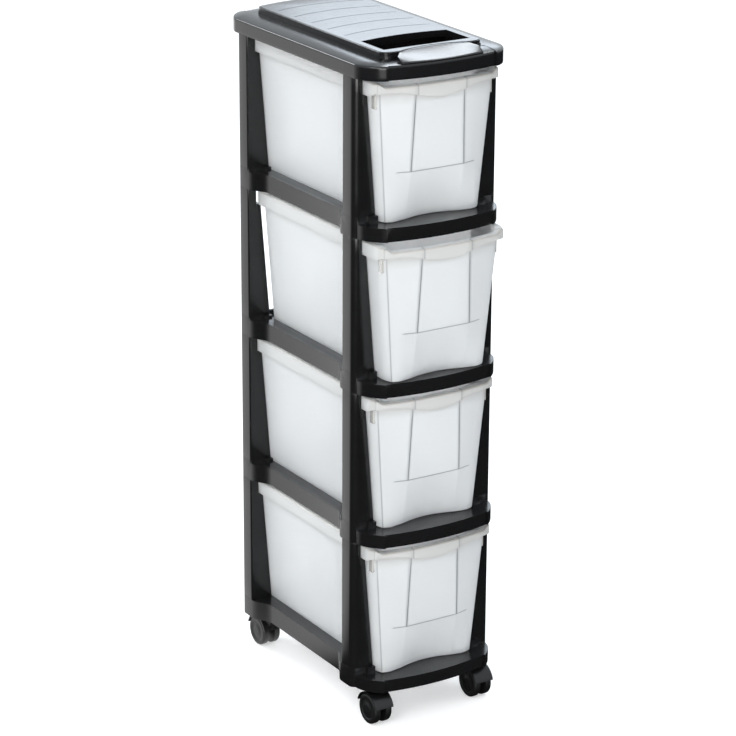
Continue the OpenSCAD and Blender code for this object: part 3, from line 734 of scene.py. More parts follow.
@dataclass
class DrawerSet:
    """Four tapered drawers, each a thin lofted shell with a creased front, a rim and a wavy pull lip."""

    plan: Plan
    finishes: Finishes
    gap: float = 0.8 * MM
    foot_gap: float = 0.3 * MM
    wall: float = 2.0 * MM
    foot_h: float = 1.5 * MM
    foot_w: float = 4.0 * MM
    front: float = 27.0 * MM
    rake: float = 7.0 * MM
    wing_back: float = 9.0 * MM
    panel_top: float = 31.2 * MM
    panel_low: float = 34.3 * MM
    scoop_h: float = 57.0 * MM
    scoop_depth: float = 16.0 * MM
    lip_dip: float = 5.5 * MM
    lip_rise: float = 4.0 * MM
    lip_half: float = 60.0 * MM
    lip_slope: float = 1.0 * MM
    lip_run: float = 8.0 * MM
    lip_low_by: float = 4.6 * MM
    lip_low_half: float = 77.0 * MM
    lip_low_run: float = 9.0 * MM
    upper_open: float = 16.0 * MM
    corner_in: float = 3.5 * MM
    corner_l: float = 10.0 * MM
    wing_tail: float = 8.5 * MM
    rear_gap: float = 11.2 * MM
    rib_out: float = 1.0 * MM
    rib_l: float = 7.0 * MM
    rib_h: float = 15.0 * MM
    tail_back: float = 0.68
    panel_back: float = 0.4 * MM
    edge_hollow: float = 0.56
    half_hollow: float = 0.9
    cuts: tuple[float, ...] = (7.0 * MM, 5.0 * MM, 1.6 * MM, 6.0 * MM, 0.9 * MM, 9.0 * MM)
    middle_cut: float = 9.0 * MM
    bends: tuple[int, ...] = (8, 4, 4, 6, 4, 6)
    parts: tuple[int, ...] = (24, 2, 2, 8, 6, 6)
    middle_bends: int = 6
    rear_parts: int = 30
    # painted shade lines along the front's creases: strength and width of each line, where they fade and stop
    corner_shade_line: tuple[float, float] = (0.6, 1.1 * MM)
    panel_shade_line: tuple[float, float] = (1.0, 1.2 * MM)
    cross_shade_line: tuple[float, float] = (0.85, 0.8 * MM)
    cross_half: float = 52.5 * MM
    cross_fade: float = 4.0 * MM
    line_fade: float = 1.0 * MM
    line_reach: float = 8.0 * MM
    line_on_lip: float = 0.55
    lip_zone: float = 7.0 * MM
    rib_thick: float = 0.8

    @property
    def foot_z(self) -> float:
        """Height of the drawer's foot above its level."""
        return self.foot_gap - self.plan.seat_drop

    @property
    def scoop_z(self) -> float:
        """Height of the front's cross crease above its level."""
        return self.foot_z + self.scoop_h

    def side_x(self, z: np.ndarray) -> np.ndarray:
        """Half width of the drawer at a height, a gap inside the posts' tapering faces."""
        plan = self.plan
        return plan.half_w - plan.post_foot_w + plan.taper * np.minimum(z, plan.notch_z) - self.gap

    def plan_rings(self, z: np.ndarray, side_out: np.ndarray, front_out: np.ndarray) -> np.ndarray:
        """Plans of the drawer at several heights.

        The front leans back by rake from the rim to the foot, its corners lie behind its middle, and below
        the cross crease it hollows back in proportion to the depth under the crease.

        Args:
            z: Heights above the level.
            side_out: How far sides and rear stand out past the wall's outer face.
            front_out: The same for the front.
        Returns:
            Points shaped heights x points x 2.
        """
        plan = self.plan
        share = np.clip((z - self.foot_z) / (plan.rim_top - self.foot_z), 0.0, 1.0)
        lean = self.rake * (1.0 - share)
        hollow = self.scoop_depth * np.clip((self.scoop_z - z) / self.scoop_h, 0.0, 1.0)
        x = self.side_x(z) + side_out
        face = plan.front_y - self.front + lean - front_out
        rear = plan.rear_y - self.rear_gap + side_out
        edge = self.panel_edge(z)
        right = [
            (x, rear),
            (x, face + self.wing_back + self.corner_l),
            (x - self.corner_in, face + self.wing_back),
            (x - self.corner_in - self.wing_tail, face + self.wing_back * self.tail_back),
            (edge, face + self.panel_back + hollow * self.edge_hollow),
            (edge / 2, face + hollow * self.half_hollow),
        ]
        left = [(-across, along) for across, along in right[::-1]]
        corners = np.stack([np.stack(c, axis=1) for c in [*right, (0.0 * z, face + hollow), *left]], axis=1)
        cuts = np.array([*self.cuts, self.middle_cut, *self.cuts[::-1]])
        return blended_loop(corners, cuts, *self.divisions())

    def panel_edge(self, z: np.ndarray) -> np.ndarray:
        """Half width of the front's flat panel: it widens from the lip down to the cross crease."""
        share = np.clip((z - self.scoop_z) / (self.plan.rim_low - self.scoop_z), 0.0, 1.0)
        return self.panel_low + (self.panel_top - self.panel_low) * share

    def divisions(self) -> tuple[list[int], list[int]]:
        """Chords in each corner of the plan, and parts of the straight run after each."""
        steps = [*self.bends, self.middle_bends, *self.bends[::-1]]
        runs = [*self.parts, *self.parts[::-1], self.rear_parts]
        return steps, runs

    def bend_columns(self) -> list[int]:
        """The column in the middle of each corner of the plan."""
        steps, runs = self.divisions()
        starts = np.cumsum([0] + [s + r for s, r in zip(steps, runs)])[:-1]
        return [int(start + s // 2) for start, s in zip(starts, steps)]

    def lip_share(self, y: np.ndarray) -> np.ndarray:
        """None along the sides, all across the front."""
        return smoothstep((self.plan.front_y - self.front + self.wing_back + self.lip_run - y) / self.lip_run)

    def lip_low(self, x: np.ndarray, y: np.ndarray) -> np.ndarray:
        """Lower edge of the rim: level along the sides, a cosine wave across the front."""
        wave = (self.lip_rise - self.lip_dip) / 2 - (self.lip_rise + self.lip_dip) / 2 * np.cos(
            np.pi * np.minimum(1.0, np.abs(x) / self.lip_half)
        )
        return self.plan.rim_low + self.lip_share(y) * wave

    def lip_high(self, x: np.ndarray, y: np.ndarray) -> np.ndarray:
        """Top of the rim: level along the sides, eased down between the front's corners to free the grip."""
        inward = smoothstep((self.lip_low_half - np.abs(x)) / self.lip_low_run)
        return self.plan.rim_top - self.lip_low_by * self.lip_share(y) * inward

    def crease_rows(self) -> list[float]:
        """Heights of the rings that carry the cross crease."""
        return [self.scoop_z + step * MM for step in (-2.4, -0.9, -0.35, 0.0, 0.35, 0.9, 2.4)]

    def outer_rows(self) -> np.ndarray:
        """Height, side offset and front offset of each outer ring, from the foot's recess up to the lip."""
        foot, crease, rim = self.foot_z, self.scoop_z, self.plan.rim_low
        rows = [
            (foot + self.foot_h, -self.foot_w - 1 * MM, -self.foot_w - 1 * MM),
            (foot, -self.foot_w, -self.foot_w),
            (foot, -1.6 * MM, -1.6 * MM),
            (foot + 0.25 * MM, -0.8 * MM, -0.8 * MM),
            (foot + 1.0 * MM, -0.3 * MM, -0.3 * MM),
            (foot + 2.5 * MM, 0.0, 0.0),
        ]
        rows += [(z, 0.0, 0.0) for z in np.linspace(foot + 8 * MM, crease - 8 * MM, 6)]
        rows += [(z, 0.0, 0.0) for z in self.crease_rows()]
        rows += [(z, 0.0, 0.0) for z in np.linspace(crease + 9 * MM, rim - 12 * MM, 6)]
        return np.array(rows)

    def inner_rows(self) -> np.ndarray:
        """The same for each inner ring, from below the lip down to the floor."""
        crease, w = self.scoop_z, self.wall
        floor = self.foot_z + self.foot_h + w
        rows = [(z, -w, -w) for z in np.linspace(self.plan.rim_top - 14 * MM, crease + 9 * MM, 5)]
        rows += [(z, -w, -w) for z in self.crease_rows()[::-1]]
        rows += [(z, -w, -w) for z in np.linspace(crease - 8 * MM, floor + 6 * MM, 5)]
        rows += [
            (floor + 2.4 * MM, -w - 0.3 * MM, -w - 0.3 * MM),
            (floor + 0.7 * MM, -w - 1.0 * MM, -w - 1.0 * MM),
            (floor, -w - 2.6 * MM, -w - 2.6 * MM),
        ]
        return np.array(rows)

    def level_rings(self, rows: np.ndarray) -> np.ndarray:
        """Level rings from rows of height, side offset and front offset."""
        ring = self.plan_rings(rows[:, 0], rows[:, 1], rows[:, 2])
        height = np.broadcast_to(rows[:, 0][:, None, None], ring.shape[:2] + (1,))
        return np.concatenate([ring, height], axis=2)

    def lip_rings(self) -> np.ndarray:
        """The lip's section carried round the rim, each height measured from its own line."""
        side, front = (np.array([row[k] for row in LIP_SECTION]) * MM for k in (0, 1))
        ring = self.plan_rings(np.full(len(LIP_SECTION), self.plan.rim_low), side, front)
        x, y = ring[..., 0], ring[..., 1]
        top = self.lip_high(x, y)
        lines = {
            LipLine.WAVE: self.lip_low(x, y),
            LipLine.EDGE: top - self.lip_slope * self.lip_share(y),
            LipLine.TOP: top,
        }
        height = np.stack([lines[row[2]][i] + row[3] * MM for i, row in enumerate(LIP_SECTION)])
        return np.concatenate([ring, height[..., None]], axis=2)

    def shell_rings(self) -> np.ndarray:
        """All rings of the shell in the drawer's level, from the foot's recess round to the inner floor."""
        return np.concatenate([
            self.level_rings(self.outer_rows()), self.lip_rings(), self.level_rings(self.inner_rows()),
        ])

    def rib(self, side: float) -> Surface:
        """Stop rib under the rim at a front corner: a small rounded box that grows out of the wall."""
        plan = self.plan
        x = float(self.side_x(np.array(plan.rim_low - self.rib_h)))
        y = plan.front_y - self.front + self.wing_back + self.corner_l + 2.0 * MM
        inner, outer = x - 0.5 * MM, x + self.rib_out
        corners = np.array([[
            [inner, y], [outer, y], [outer, y - self.rib_l], [inner - 0.55 * self.corner_in, y - self.rib_l],
        ]])
        plan_loop = blended_loop(corners, np.full(4, 0.7 * MM), [4, 4, 4, 4], [2, 2, 2, 2])[0]
        centre = plan_loop.mean(axis=0)
        low, high = plan.rim_low - self.rib_h, plan.rim_low + 0.8 * MM
        rows = ((low, 0.8), (low + 0.15 * MM, 0.9), (low + 0.6 * MM, 1.0), (high, 1.0))
        rings = np.stack([level_ring(centre + (plan_loop - centre) * scale, z) for z, scale in rows])
        rings[..., 0] *= side
        return loft(rings)

    def crease_shade_mask(self, rings: np.ndarray) -> np.ndarray:
        """How much painted shade each point of the shell gets from the front's crease lines, from 0 to 1.

        Upright lines run down the front's corners and down the panel's edges to the cross crease; each fades
        linearly with the distance in plan from its own column, and the cross crease with the height.

        Args:
            rings: The shell's rings.
        Returns:
            One value for each point, ring after ring.
        """
        height = rings[..., 2]
        columns = self.bend_columns()
        low_to_high = smoothstep((height - self.scoop_z + self.line_fade) / self.line_fade)
        on_lip = np.where(height > self.plan.rim_low - self.lip_zone, self.line_on_lip, 1.0)
        mask = np.zeros(height.shape)
        for corner, (strength, width) in ((2, self.corner_shade_line), (4, self.panel_shade_line)):
            for column in (columns[corner], columns[-1 - corner]):
                away = np.linalg.norm(rings[..., :2] - rings[:, column:column + 1, :2], axis=2)
                line = strength * np.clip(1.0 - away / width, 0.0, 1.0) * on_lip
                mask = np.maximum(mask, line * (low_to_high if corner == 4 else 1.0))
        strength, width = self.cross_shade_line
        across = np.clip(1.0 - np.abs(height - self.scoop_z) / width, 0.0, 1.0)
        ends = smoothstep((self.cross_half - np.abs(rings[..., 0])) / self.cross_fade)
        mask = np.maximum(mask, strength * across * ends)
        return (mask * (rings[..., 1] < self.plan.front_y - self.line_reach)).ravel()

    def thick_and_warm_light_mask(self, rings: np.ndarray) -> np.ndarray:
        """The warm tint at a point, part thicker plastic, part painted warm light: most on the lip's upper
        edge, half on the sides.
        """
        mask = np.zeros(rings.shape[:2])
        first = len(self.outer_rows())
        lip = slice(first, first + len(LIP_SECTION))
        look = np.array([row[4] for row in LIP_SECTION])
        # the front lip gets up to twice the sides' tint: painted warm light where the front light falls on it
        mask[lip] = look[:, None] * (0.5 + 0.5 * self.lip_share(rings[lip, :, 1]))
        return mask.ravel()

    def build(self) -> None:
        """Builds every drawer and lets it stand for its node."""
        rings = self.shell_rings()
        vertices, quads, triangles = joined([loft(rings), self.rib(1.0), self.rib(-1.0)])
        on_shell = rings.shape[0] * rings.shape[1]
        crease, thick_and_warm_light = np.zeros(len(vertices)), np.full(len(vertices), self.rib_thick)
        # painted shade along the front's creases
        crease[:on_shell] = self.crease_shade_mask(rings)
        # warm tint: the thicker plastic's own colour, and painted warm light on the front lip
        thick_and_warm_light[:on_shell] = self.thick_and_warm_light_mask(rings)
        thick_and_warm_light[on_shell:on_shell + 2] = 0.0
        for level in Level:
            node = level.value + "_drawer"
            pull = self.upper_open if level is Level.UPPER else 0.0
            place = np.array([0.0, -pull, self.plan.levels[level]])
            surface = (vertices + place, quads, triangles)
            piece = add_shell(node + "_shell", surface, node, self.finishes.frosted, node)
            # stores the painted crease shade and the warm tint (thicker plastic and painted warm light) on
            # every point
            for label, values in (("crease", crease), ("thick_and_warm_light", thick_and_warm_light)):
                mask = piece.data.attributes.new(label, "FLOAT", "POINT")
                mask.data.foreach_set("value", values.astype(np.float32))


# ---- Lid ----------------------------------------------------------------------------------------


@dataclass
class Lid:
    """Lid with its skirt and shoulder, the raised grooved panel, the grip bar and the well."""

    plan: Plan
    finishes: Finishes
    over: float = 0.6 * MM
    skirt_h: float = 15.5 * MM
    rise: float = 3.3 * MM
    wall: float = 2.6 * MM
    plate_t: float = 2.4 * MM
    flat_in: float = 20.0 * MM
    hand_w: float = 111.0 * MM
    hand_l: float = 47.0 * MM
    hand_bow: float = 6.5 * MM
    hand_margin: float = 13.5 * MM
    panel_set_back: float = 19.0 * MM
    grip_w: float = 104.0 * MM
    grip_bow: float = 9.0 * MM
    grip_clear: float = 0.6 * MM
    grip_sunk: float = 0.8 * MM
    grip_end: float = 7.0 * MM
    grip_end_slope: float = 1.15
    grip_end_drop: float = 2.2 * MM
    grip_crown: float = 1.2 * MM
    grip_front_in: float = 1.6 * MM
    grip_front_h: float = 1.5 * MM
    grip_gap: float = 0.12 * MM
    rim_band: float = 9.0 * MM
    rim_round: float = 1.4 * MM
    rim_angle: float = 60.0
    rim_level: float = 0.05 * MM
    rim_segments: int = 5
    panel_smooth: float = 14.0
    groove_edge: float = 0.25 * MM
    groove_angle: float = 38.0
    panel_h: float = 7.5 * MM
    corner_steps: int = 20
    bow_steps: int = 20
    side_steps: int = 10

    @property
    def half(self) -> float:
        """Half width of the lid."""
        return self.plan.half_w + self.over

    @property
    def base(self) -> float:
        """Height of the skirt's lower edge."""
        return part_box("top_frame")[0][2]

    @property
    def panel_front(self) -> float:
        """Front edge of the raised panel."""
        return self.plan.front_y - self.plan.front_reach + self.panel_set_back

    def outline(self, inset: float, step: float) -> np.ndarray:
        """Plan of the lid drawn in by inset: straight sides, soft corners, a small step and a shallow bow."""
        plan = self.plan
        dx, dy = plan.crease_in - inset * 0.9, plan.front_reach - inset
        x = self.half - inset
        chord = x - dx
        rise = plan.front_bow + plan.lid_step
        rear_bow = plan.bow(chord, plan.rear_y + dy - step, rise, 1.0, self.bow_steps)[::-1]
        rear_corner = plan.soft_corner(x, plan.rear_y, dx, dy, self.corner_steps)[::-1]
        front_corner = plan.soft_corner(x, plan.front_y, dx, -dy, self.corner_steps)
        front_bow = plan.bow(chord, plan.front_y - dy + step, rise, -1.0, self.bow_steps)
        share = np.linspace(0.0, 1.0, self.side_steps + 2)[1:-1, None]
        side = rear_corner[-1] + (front_corner[0] - rear_corner[-1]) * share
        return mirrored_loop(np.concatenate([rear_bow, rear_corner, side, front_corner, front_bow]))

    def hole(self) -> np.ndarray:
        """The plate's hole under the panel: a squarish superellipse, one point for each of the outline."""
        plan = self.plan
        points = self.outline(self.flat_in, -plan.lid_step)
        hand_front = self.panel_front + self.hand_margin
        centre = hand_front + self.hand_l / 2
        hx, hy = self.hand_w / 2 + 2 * MM, self.hand_l / 2 + self.hand_bow + 2 * MM
        reach = (plan.rear_y - plan.front_y) / 2 + plan.front_reach + plan.front_bow
        angle = np.arctan2((points[:, 1] - plan.mid_y) / reach * hy, points[:, 0] / self.half * hx)
        u, v = np.cos(angle) / hx, np.sin(angle) / hy
        radius = (np.abs(u) ** 10 + np.abs(v) ** 10) ** -0.1
        return np.stack([radius * np.cos(angle), centre + self.hand_bow / 2 + radius * np.sin(angle)], axis=1)

    def shoulder(self, inset: np.ndarray) -> np.ndarray:
        """Height of the shoulder above the skirt's top, by distance in from the edge."""
        return np.interp(
            inset, np.array([0.0, 0.5, 2.5, 9.0, 20.0]) * MM,
            np.array([-0.4 * MM, 0.3 * MM, 1.1 * MM, 0.7 * self.rise, self.rise]),
        )

    def shell(self) -> Surface:
        """The lid as one closed band: its plan carried along the section of skirt, shoulder and underside."""
        h, w, step = self.skirt_h, self.wall, self.plan.lid_step
        top = h + self.rise
        section = [
            (0.5 * MM, 0.0), (0.12 * MM, 0.12 * MM), (0.0, 0.5 * MM), (0.0, 4 * MM), (0.0, h - 3.0 * MM),
            (0.0, h - 1.2 * MM), (0.15 * MM, h - 0.6 * MM), (0.5 * MM, h - 0.05 * MM),
            (1.1 * MM, h + 0.4 * MM), (1.9 * MM, h + 0.72 * MM), (3.0 * MM, h + 1.0 * MM),
            (5.0 * MM, h + 1.5 * MM), (9.0 * MM, h + 0.7 * self.rise), (14.0 * MM, h + 0.87 * self.rise),
            (self.flat_in, top),
        ]
        under = [
            (self.flat_in, top - self.plate_t), (w + 1 * MM, h - 1.6 * MM), (w, h - 3 * MM), (w, 0.5 * MM),
            (w - 0.2 * MM, 0.1 * MM), (w - 0.5 * MM, 0.0),
        ]
        rings = [level_ring(self.outline(inset, step), z) for inset, z in section]
        rings += [level_ring(self.hole(), z) for z in (top, top - self.plate_t)]
        rings += [level_ring(self.outline(inset, step), z) for inset, z in under]
        stack = np.stack(rings)
        stack[..., 2] += self.base
        return loft(stack, closed=True)

    def lid_front(self, x: np.ndarray) -> np.ndarray:
        """The lid's bowed front edge at x."""
        plan = self.plan
        radius = arc_radius(self.half - plan.crease_in, plan.front_bow + plan.lid_step)
        return plan.front_y - plan.front_reach - plan.front_bow + radius - np.sqrt(radius ** 2 - x ** 2)

    def grip(self) -> Surface:
        """The grip bar: a crowned section carried from one end to the other.

        The rear edge is a shallow arc with chamfered ends, the top falls to the front by one less a power of
        the distance, and the underside keeps a hair above the lid's shoulder.
        """
        half = self.grip_w / 2
        neck = half - self.grip_end
        ends = np.array([0.9, 2.0, 4.0, 7.0]) * MM
        between = np.linspace(neck, -neck, 41)[1:-1]
        x = np.concatenate([[half], half - ends, between, ends[::-1] - half, [-half]])
        radius = arc_radius(neck, self.grip_bow)
        inner = np.minimum(np.abs(x), neck)
        beyond = np.maximum(np.abs(x) - neck, 0.0)
        rear = self.panel_front - self.grip_clear
        bow = self.grip_bow - radius + np.sqrt(radius ** 2 - inner ** 2)
        back = rear + bow - beyond * self.grip_end_slope
        edge = self.lid_front(x)
        front = edge + self.grip_front_in
        low = self.shoulder(np.full_like(x, self.grip_front_in)) + self.grip_gap
        end = np.clip(beyond / (half - neck), 0.0, 1.0)
        arch = self.grip_crown * (1 - (x / half) ** 2)
        high = self.panel_h + self.rise - self.grip_sunk + arch - end * self.grip_end_drop
        front_top = low + self.grip_front_h
        t = np.array([0.0, 0.02, 0.05, 0.1, 0.2, 0.35, 0.5, 0.65, 0.8, 0.9, 0.96, 1.0])
        crown = np.concatenate([[0.8, 0.93, 0.97], 1 - t[3:] ** 1.2])
        y = back[:, None] + (front - back)[:, None] * t[None, :]
        z = front_top[:, None] + (high - front_top)[:, None] * crown[None, :]
        z[:, -1] -= 0.5 * MM
        y[:, -1] -= 0.2 * MM
        deep = back - edge
        insets = np.stack([
            front - edge - 0.2 * MM, np.full_like(x, 9 * MM), np.minimum(20 * MM, deep - 0.3 * MM), deep,
        ], axis=1)
        section_y = np.concatenate([y, edge[:, None] + insets], axis=1)
        shoulder = self.shoulder(insets) + self.grip_gap
        section_z = np.concatenate([z, shoulder], axis=1) + self.base + self.skirt_h
        section_x = np.broadcast_to(x[:, None], section_y.shape)
        return loft(np.stack([section_x, section_y, section_z], axis=2))

    def round_rim(self, mesh: bpy.types.Mesh) -> None:
        """Rounds the raised panel's outer top edge.

        An edge is on the outer rim where it lies at the top, near the box's sides, and one of its faces is
        upright and points away from the panel's middle.
        """
        points = np.array([v.co for v in mesh.vertices])
        low, high = points.min(axis=0), points.max(axis=0)
        middle = (low + high) / 2
        bm = bmesh.new()
        bm.from_mesh(mesh)
        rim = []
        for edge in bm.edges:
            if len(edge.link_faces) != 2 or edge.calc_face_angle(0.0) < math.radians(self.rim_angle):
                continue
            spot = (edge.verts[0].co + edge.verts[1].co) / 2
            upright = min(edge.link_faces, key=lambda face: abs(face.normal.z)).normal
            outward = upright.x * (spot.x - middle[0]) + upright.y * (spot.y - middle[1]) > 0
            across, along = abs(spot.x - middle[0]), abs(spot.y - middle[1])
            near = across > high[0] - middle[0] - self.rim_band or along > high[1] - middle[1] - self.rim_band
            if outward and near and spot.z > high[2] - self.rim_level:
                rim.append(edge)
        bmesh.ops.bevel(bm, geom=rim, offset=self.rim_round, segments=self.rim_segments, profile=0.5,
                        affect="EDGES", clamp_overlap=False)
        bm.to_mesh(mesh)
        bm.free()
        LOG.info("panel rim: %d edges rounded", len(rim))

    def build(self) -> None:
        """Builds the lid's pieces; the hand well keeps its CAD form under a new finish."""
        slot, material = "lid_black", self.finishes.lid_black
        add_shell("lid_shell", self.shell(), BODY, material, "top_frame")
        add_shell("grip_shell", self.grip(), BODY, material, "grip_bar")
        mesh = merged_copy("top_panel")
        self.round_rim(mesh)
        soften(mesh, self.panel_smooth)
        panel = add_piece("panel_shell", mesh, BODY, material, "top_panel")
        add_bevel(panel, self.groove_edge, self.groove_angle)
        dress_node("hand_well", material)


# ---- Casters ------------------------------------------------------------------------------------


@dataclass
class CasterSet:
    """Four twin-wheel swivel casters: hoods with rounded edges and wheels as surfaces of revolution."""

    finishes: Finishes
    wheel_r: float = 18.0 * MM
    wheel_w: float = 8.2 * MM
    bore_r: float = 3.05 * MM
    blind: float = 6.6 * MM
    round_r: float = 2.6 * MM
    dish: float = 0.8 * MM
    segments: int = 96
    hood_edge: float = 0.35 * MM
    hood_edge_angle: float = 45.0
    hood_smooth: float = 35.0

    def profile(self) -> np.ndarray:
        """Half section of a wheel: radius against distance from the inner face, from bore to outer face."""
        r, w = self.wheel_r, self.wheel_w
        bend = np.radians(np.linspace(0.0, 90.0, 9))
        shoulder = np.column_stack([
            r - self.round_r + self.round_r * np.cos(bend), w - self.round_r + self.round_r * np.sin(bend),
        ])
        inner = np.array([
            (0.1 * MM, self.blind), (self.bore_r, self.blind), (self.bore_r, 0.4 * MM),
            (self.bore_r + 0.4 * MM, 0.0), (r - 1.0 * MM, 0.0), (r - 0.3 * MM, 0.25 * MM), (r, 1.0 * MM),
        ])
        face = np.array([
            (0.72 * r, w), (0.69 * r, w - 0.15 * MM), (0.65 * r, w - self.dish), (0.34 * r, w - self.dish),
            (0.31 * r, w - 0.35 * MM), (0.28 * r, w - 0.25 * MM), (0.1 * MM, w - 0.2 * MM),
        ])
        return np.concatenate([inner, shoulder, face])

    def wheel(self, low: np.ndarray, high: np.ndarray, outward: float) -> Surface:
        """Turns the profile about the wheel's axis: y and z are radius times cosine and sine of the angle.

        Args:
            low: Low corner of the CAD wheel's box.
            high: High corner of that box.
            outward: Sign of x from the wheel's inner face to its outer face.
        Returns:
            Vertices, quads and triangles.
        """
        section = self.profile()
        angle = np.linspace(0.0, 2.0 * np.pi, self.segments, endpoint=False)[None, :]
        inner_x = low[0] if outward > 0 else high[0]
        x = np.broadcast_to((inner_x + outward * section[:, 1])[:, None], (len(section), self.segments))
        y = (low[1] + high[1]) / 2 + section[:, :1] * np.cos(angle)
        z = (low[2] + high[2]) / 2 + section[:, :1] * np.sin(angle)
        return loft(np.stack([x, y, z], axis=2))

    def build(self) -> None:
        """Builds the wheels, rounds the hoods and dresses the axles."""
        for corner in Corner:
            name = corner.label + "_caster"
            hood = merged_copy(name + "_hood")
            soften(hood, self.hood_smooth)
            material = self.finishes.caster_black
            piece = add_piece(name + "_hood_shell", hood, name, material, name + "_hood")
            add_bevel(piece, self.hood_edge, self.hood_edge_angle)
            dress_node(name + "_axle", self.finishes.steel)
            for side, outward in (("left", -1.0), ("right", 1.0)):
                node = f"{name}_wheel_{side}"
                surface = self.wheel(*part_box(node), outward)
                add_shell(node + "_shell", surface, node, self.finishes.tread, node)


def dress_node(node: str, material: bpy.types.Material) -> None:
    """Gives a CAD node's object a material in place of its own."""
    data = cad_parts[node].data
    data.materials.clear()
    data.materials.append(material)
    LOG.info("%s: dressed with %s", node, material.name)


# ---- Studio -------------------------------------------------------------------------------------


@dataclass(frozen=True)
class SoftLight:
    """A rectangular soft light: where it hangs, the point it faces, its face's size, its watts and colour."""

    name: str
    place: tuple[float, float, float]
    aim: tuple[float, float, float]
    size: tuple[float, float]
    power: float
    colour: tuple[float, float, float]


TOWER_TOP = (0.0, 0.0, 0.79)
LIGHTS = (
    SoftLight("key", (-2.4, -1.6, 2.4), (0.0, 0.0, 0.4), (1.6, 1.6), 45.0, (1.0, 0.985, 0.96)),
    SoftLight("front", (-1.5, -3.0, 0.85), (0.0, 0.0, 0.3), (2.0, 1.6), 47.0, (1.0, 0.985, 0.965)),
    SoftLight("rim", (1.62, 2.2, 1.75), TOWER_TOP, (0.8, 0.8), 6.0, (0.8, 0.89, 1.0)),
    SoftLight("crown", (1.3, 1.1, 2.7), TOWER_TOP, (0.9, 0.8), 25.0, (0.88, 0.94, 1.0)),
    SoftLight("edge", (-1.05, 2.3, 2.2), TOWER_TOP, (0.8, 0.8), 24.0, (0.97, 0.98, 1.0)),
)


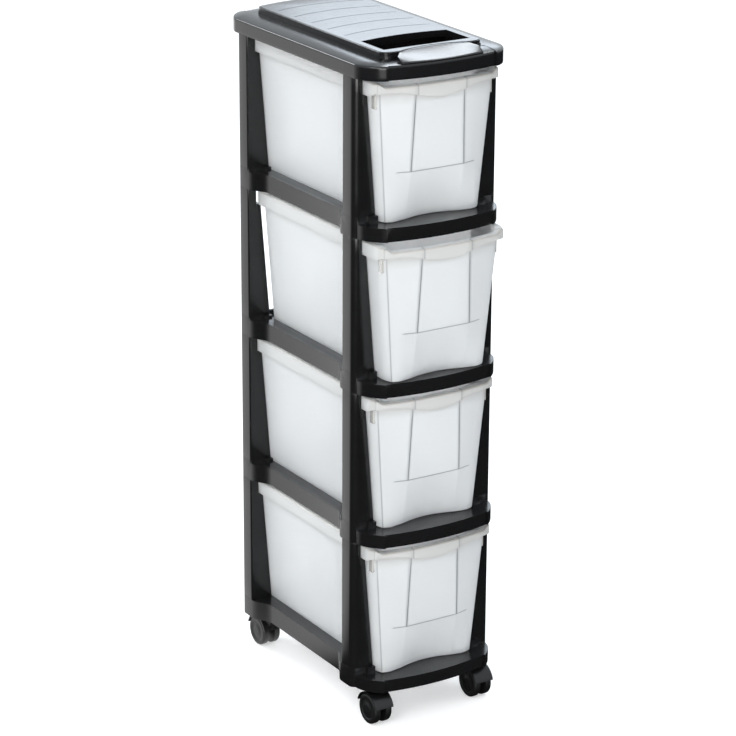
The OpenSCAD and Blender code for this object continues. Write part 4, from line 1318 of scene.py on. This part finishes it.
@dataclass
class Studio:
    """Pale floor, soft lights, white surround and the camera."""

    camera_place: tuple[float, float, float] = (-1.72296, -2.76271, 1.52678)
    camera_heading: float = 31.98
    camera_dip: float = 19.41
    camera_roll: float = 0.281
    lens: float = 145.4
    lights: tuple[SoftLight, ...] = LIGHTS
    floor_half: float = 12.0
    floor_shade: float = 0.8
    floor_lift: float = 0.4
    fill: float = 0.9
    fill_tint: tuple[float, float, float] = (0.9, 0.955, 1.0)
    bright_side: tuple[float, float, float] = (-0.2, 0.98, 0.0)
    sweep_start: float = 0.3
    sweep_end: float = 0.85
    bright_glow: float = 1.3
    dark_glow: float = 0.02

    def add_camera(self) -> None:
        """Places the camera at the photograph's viewing angle, with no shift."""
        data = bpy.data.cameras.new("camera")
        data.lens = self.lens
        data.sensor_width = 36.0
        data.clip_end = 50.0
        camera = bpy.data.objects.new("camera", data)
        bpy.context.scene.collection.objects.link(camera)
        turn = (
            Matrix.Rotation(math.radians(-self.camera_heading), 4, "Z")
            @ Matrix.Rotation(math.radians(90.0 - self.camera_dip), 4, "X")
            @ Matrix.Rotation(math.radians(self.camera_roll), 4, "Z")
        )
        camera.matrix_world = Matrix.Translation(self.camera_place) @ turn
        bpy.context.scene.camera = camera

    def add_light(self, light: SoftLight) -> None:
        """Hangs one soft light that the camera doesn't see."""
        data = bpy.data.lights.new(light.name, "AREA")
        data.shape = "RECTANGLE"
        data.size, data.size_y = light.size
        data.energy = light.power
        data.color = light.colour
        lamp = bpy.data.objects.new(light.name, data)
        bpy.context.scene.collection.objects.link(lamp)
        lamp.location = light.place
        lamp.rotation_euler = (Vector(light.aim) - Vector(light.place)).to_track_quat("-Z", "Y").to_euler()
        lamp.visible_camera = False

    def add_floor(self) -> None:
        """Lays a wide pale floor."""
        s = self.floor_half
        mesh = bpy.data.meshes.new("floor")
        mesh.from_pydata([(-s, -s, 0), (s, -s, 0), (s, s, 0), (-s, s, 0)], [], [(0, 1, 2, 3)])
        floor = bpy.data.objects.new("floor", mesh)
        bpy.context.scene.collection.objects.link(floor)
        mesh.materials.append(self.floor_material())

    def floor_material(self) -> bpy.types.Material:
        """A matt floor that is lit and shadowed, and raised to white for the camera and through plastic.

        Gloss shows it as a softbox does: bright towards the tower's rear, dark ahead of its front. The glow
        eases with the cosine of the bearing from the tower's foot against the bright side.
        """
        material = bpy.data.materials.new("PaleFloor")
        material.use_nodes = True
        tree = material.node_tree
        tree.nodes.clear()
        path = tree.nodes.new("ShaderNodeLightPath").outputs
        matt = tree.nodes.new("ShaderNodeBsdfDiffuse")
        matt.inputs["Color"].default_value = (self.floor_shade,) * 3 + (1.0,)
        seen = math_node(tree, "MAXIMUM", path["Is Camera Ray"], path["Is Transmission Ray"])
        lift = tree.nodes.new("ShaderNodeEmission")
        put(tree, lift.inputs["Strength"], math_node(tree, "MULTIPLY", seen, self.floor_lift))
        plain = tree.nodes.new("ShaderNodeAddShader")
        put(tree, plain.inputs[0], matt.outputs["BSDF"])
        put(tree, plain.inputs[1], lift.outputs["Emission"])
        bearing = tree.nodes.new("ShaderNodeVectorMath")
        bearing.operation = "NORMALIZE"
        put(tree, bearing.inputs[0], tree.nodes.new("ShaderNodeTexCoord").outputs["Object"])
        cosine = tree.nodes.new("ShaderNodeVectorMath")
        cosine.operation = "DOT_PRODUCT"
        cosine.inputs[1].default_value = self.bright_side
        put(tree, cosine.inputs[0], bearing.outputs["Vector"])
        sweep = tree.nodes.new("ShaderNodeMapRange")
        sweep.interpolation_type = "SMOOTHSTEP"
        for label, value in (("From Min", self.sweep_start), ("From Max", self.sweep_end),
                             ("To Min", self.dark_glow), ("To Max", self.bright_glow)):
            sweep.inputs[label].default_value = value
        put(tree, sweep.inputs["Value"], cosine.outputs["Value"])
        mirrored = tree.nodes.new("ShaderNodeEmission")
        put(tree, mirrored.inputs["Strength"], sweep.outputs["Result"])
        choice = tree.nodes.new("ShaderNodeMixShader")
        for socket, value in zip(choice.inputs, (path["Is Glossy Ray"], plain.outputs["Shader"],
                                                 mirrored.outputs["Emission"])):
            put(tree, socket, value)
        out = tree.nodes.new("ShaderNodeOutputMaterial")
        put(tree, out.inputs["Surface"], choice.outputs["Shader"])
        return material

    def add_world(self) -> None:
        """White to the camera, slightly blue to the rest; full strength seen, mirrored or through plastic."""
        world = bpy.data.worlds.new("surround")
        world.use_nodes = True
        bpy.context.scene.world = world
        tree = world.node_tree
        sky = tree.nodes["Background"]
        path = tree.nodes.new("ShaderNodeLightPath").outputs
        tint = mix_node(tree, path["Is Camera Ray"], (*self.fill_tint, 1.0), (1.0, 1.0, 1.0, 1.0))
        put(tree, sky.inputs["Color"], tint)
        seen = math_node(tree, "MAXIMUM", path["Is Camera Ray"], path["Is Transmission Ray"])
        any_seen = math_node(tree, "MAXIMUM", seen, path["Is Glossy Ray"])
        strength = math_node(tree, "MULTIPLY_ADD", any_seen, 1.0 - self.fill, self.fill)
        put(tree, sky.inputs["Strength"], strength)

    def build(self) -> None:
        """Builds camera, floor, surround and lights."""
        self.add_camera()
        self.add_floor()
        self.add_world()
        for light in self.lights:
            self.add_light(light)
        bpy.context.scene.view_settings.view_transform = "Standard"


def main() -> None:
    """Builds the studio and the tower's sub-assemblies in order."""
    plan = Plan()
    finishes = Finishes()
    Studio().build()
    FrameStack(plan, finishes).build()
    PostSet(plan, finishes).build()
    DrawerSet(plan, finishes).build()
    Lid(plan, finishes).build()
    CasterSet(finishes).build()
    bpy.context.view_layer.update()


if __name__ == "__main__":
    main()
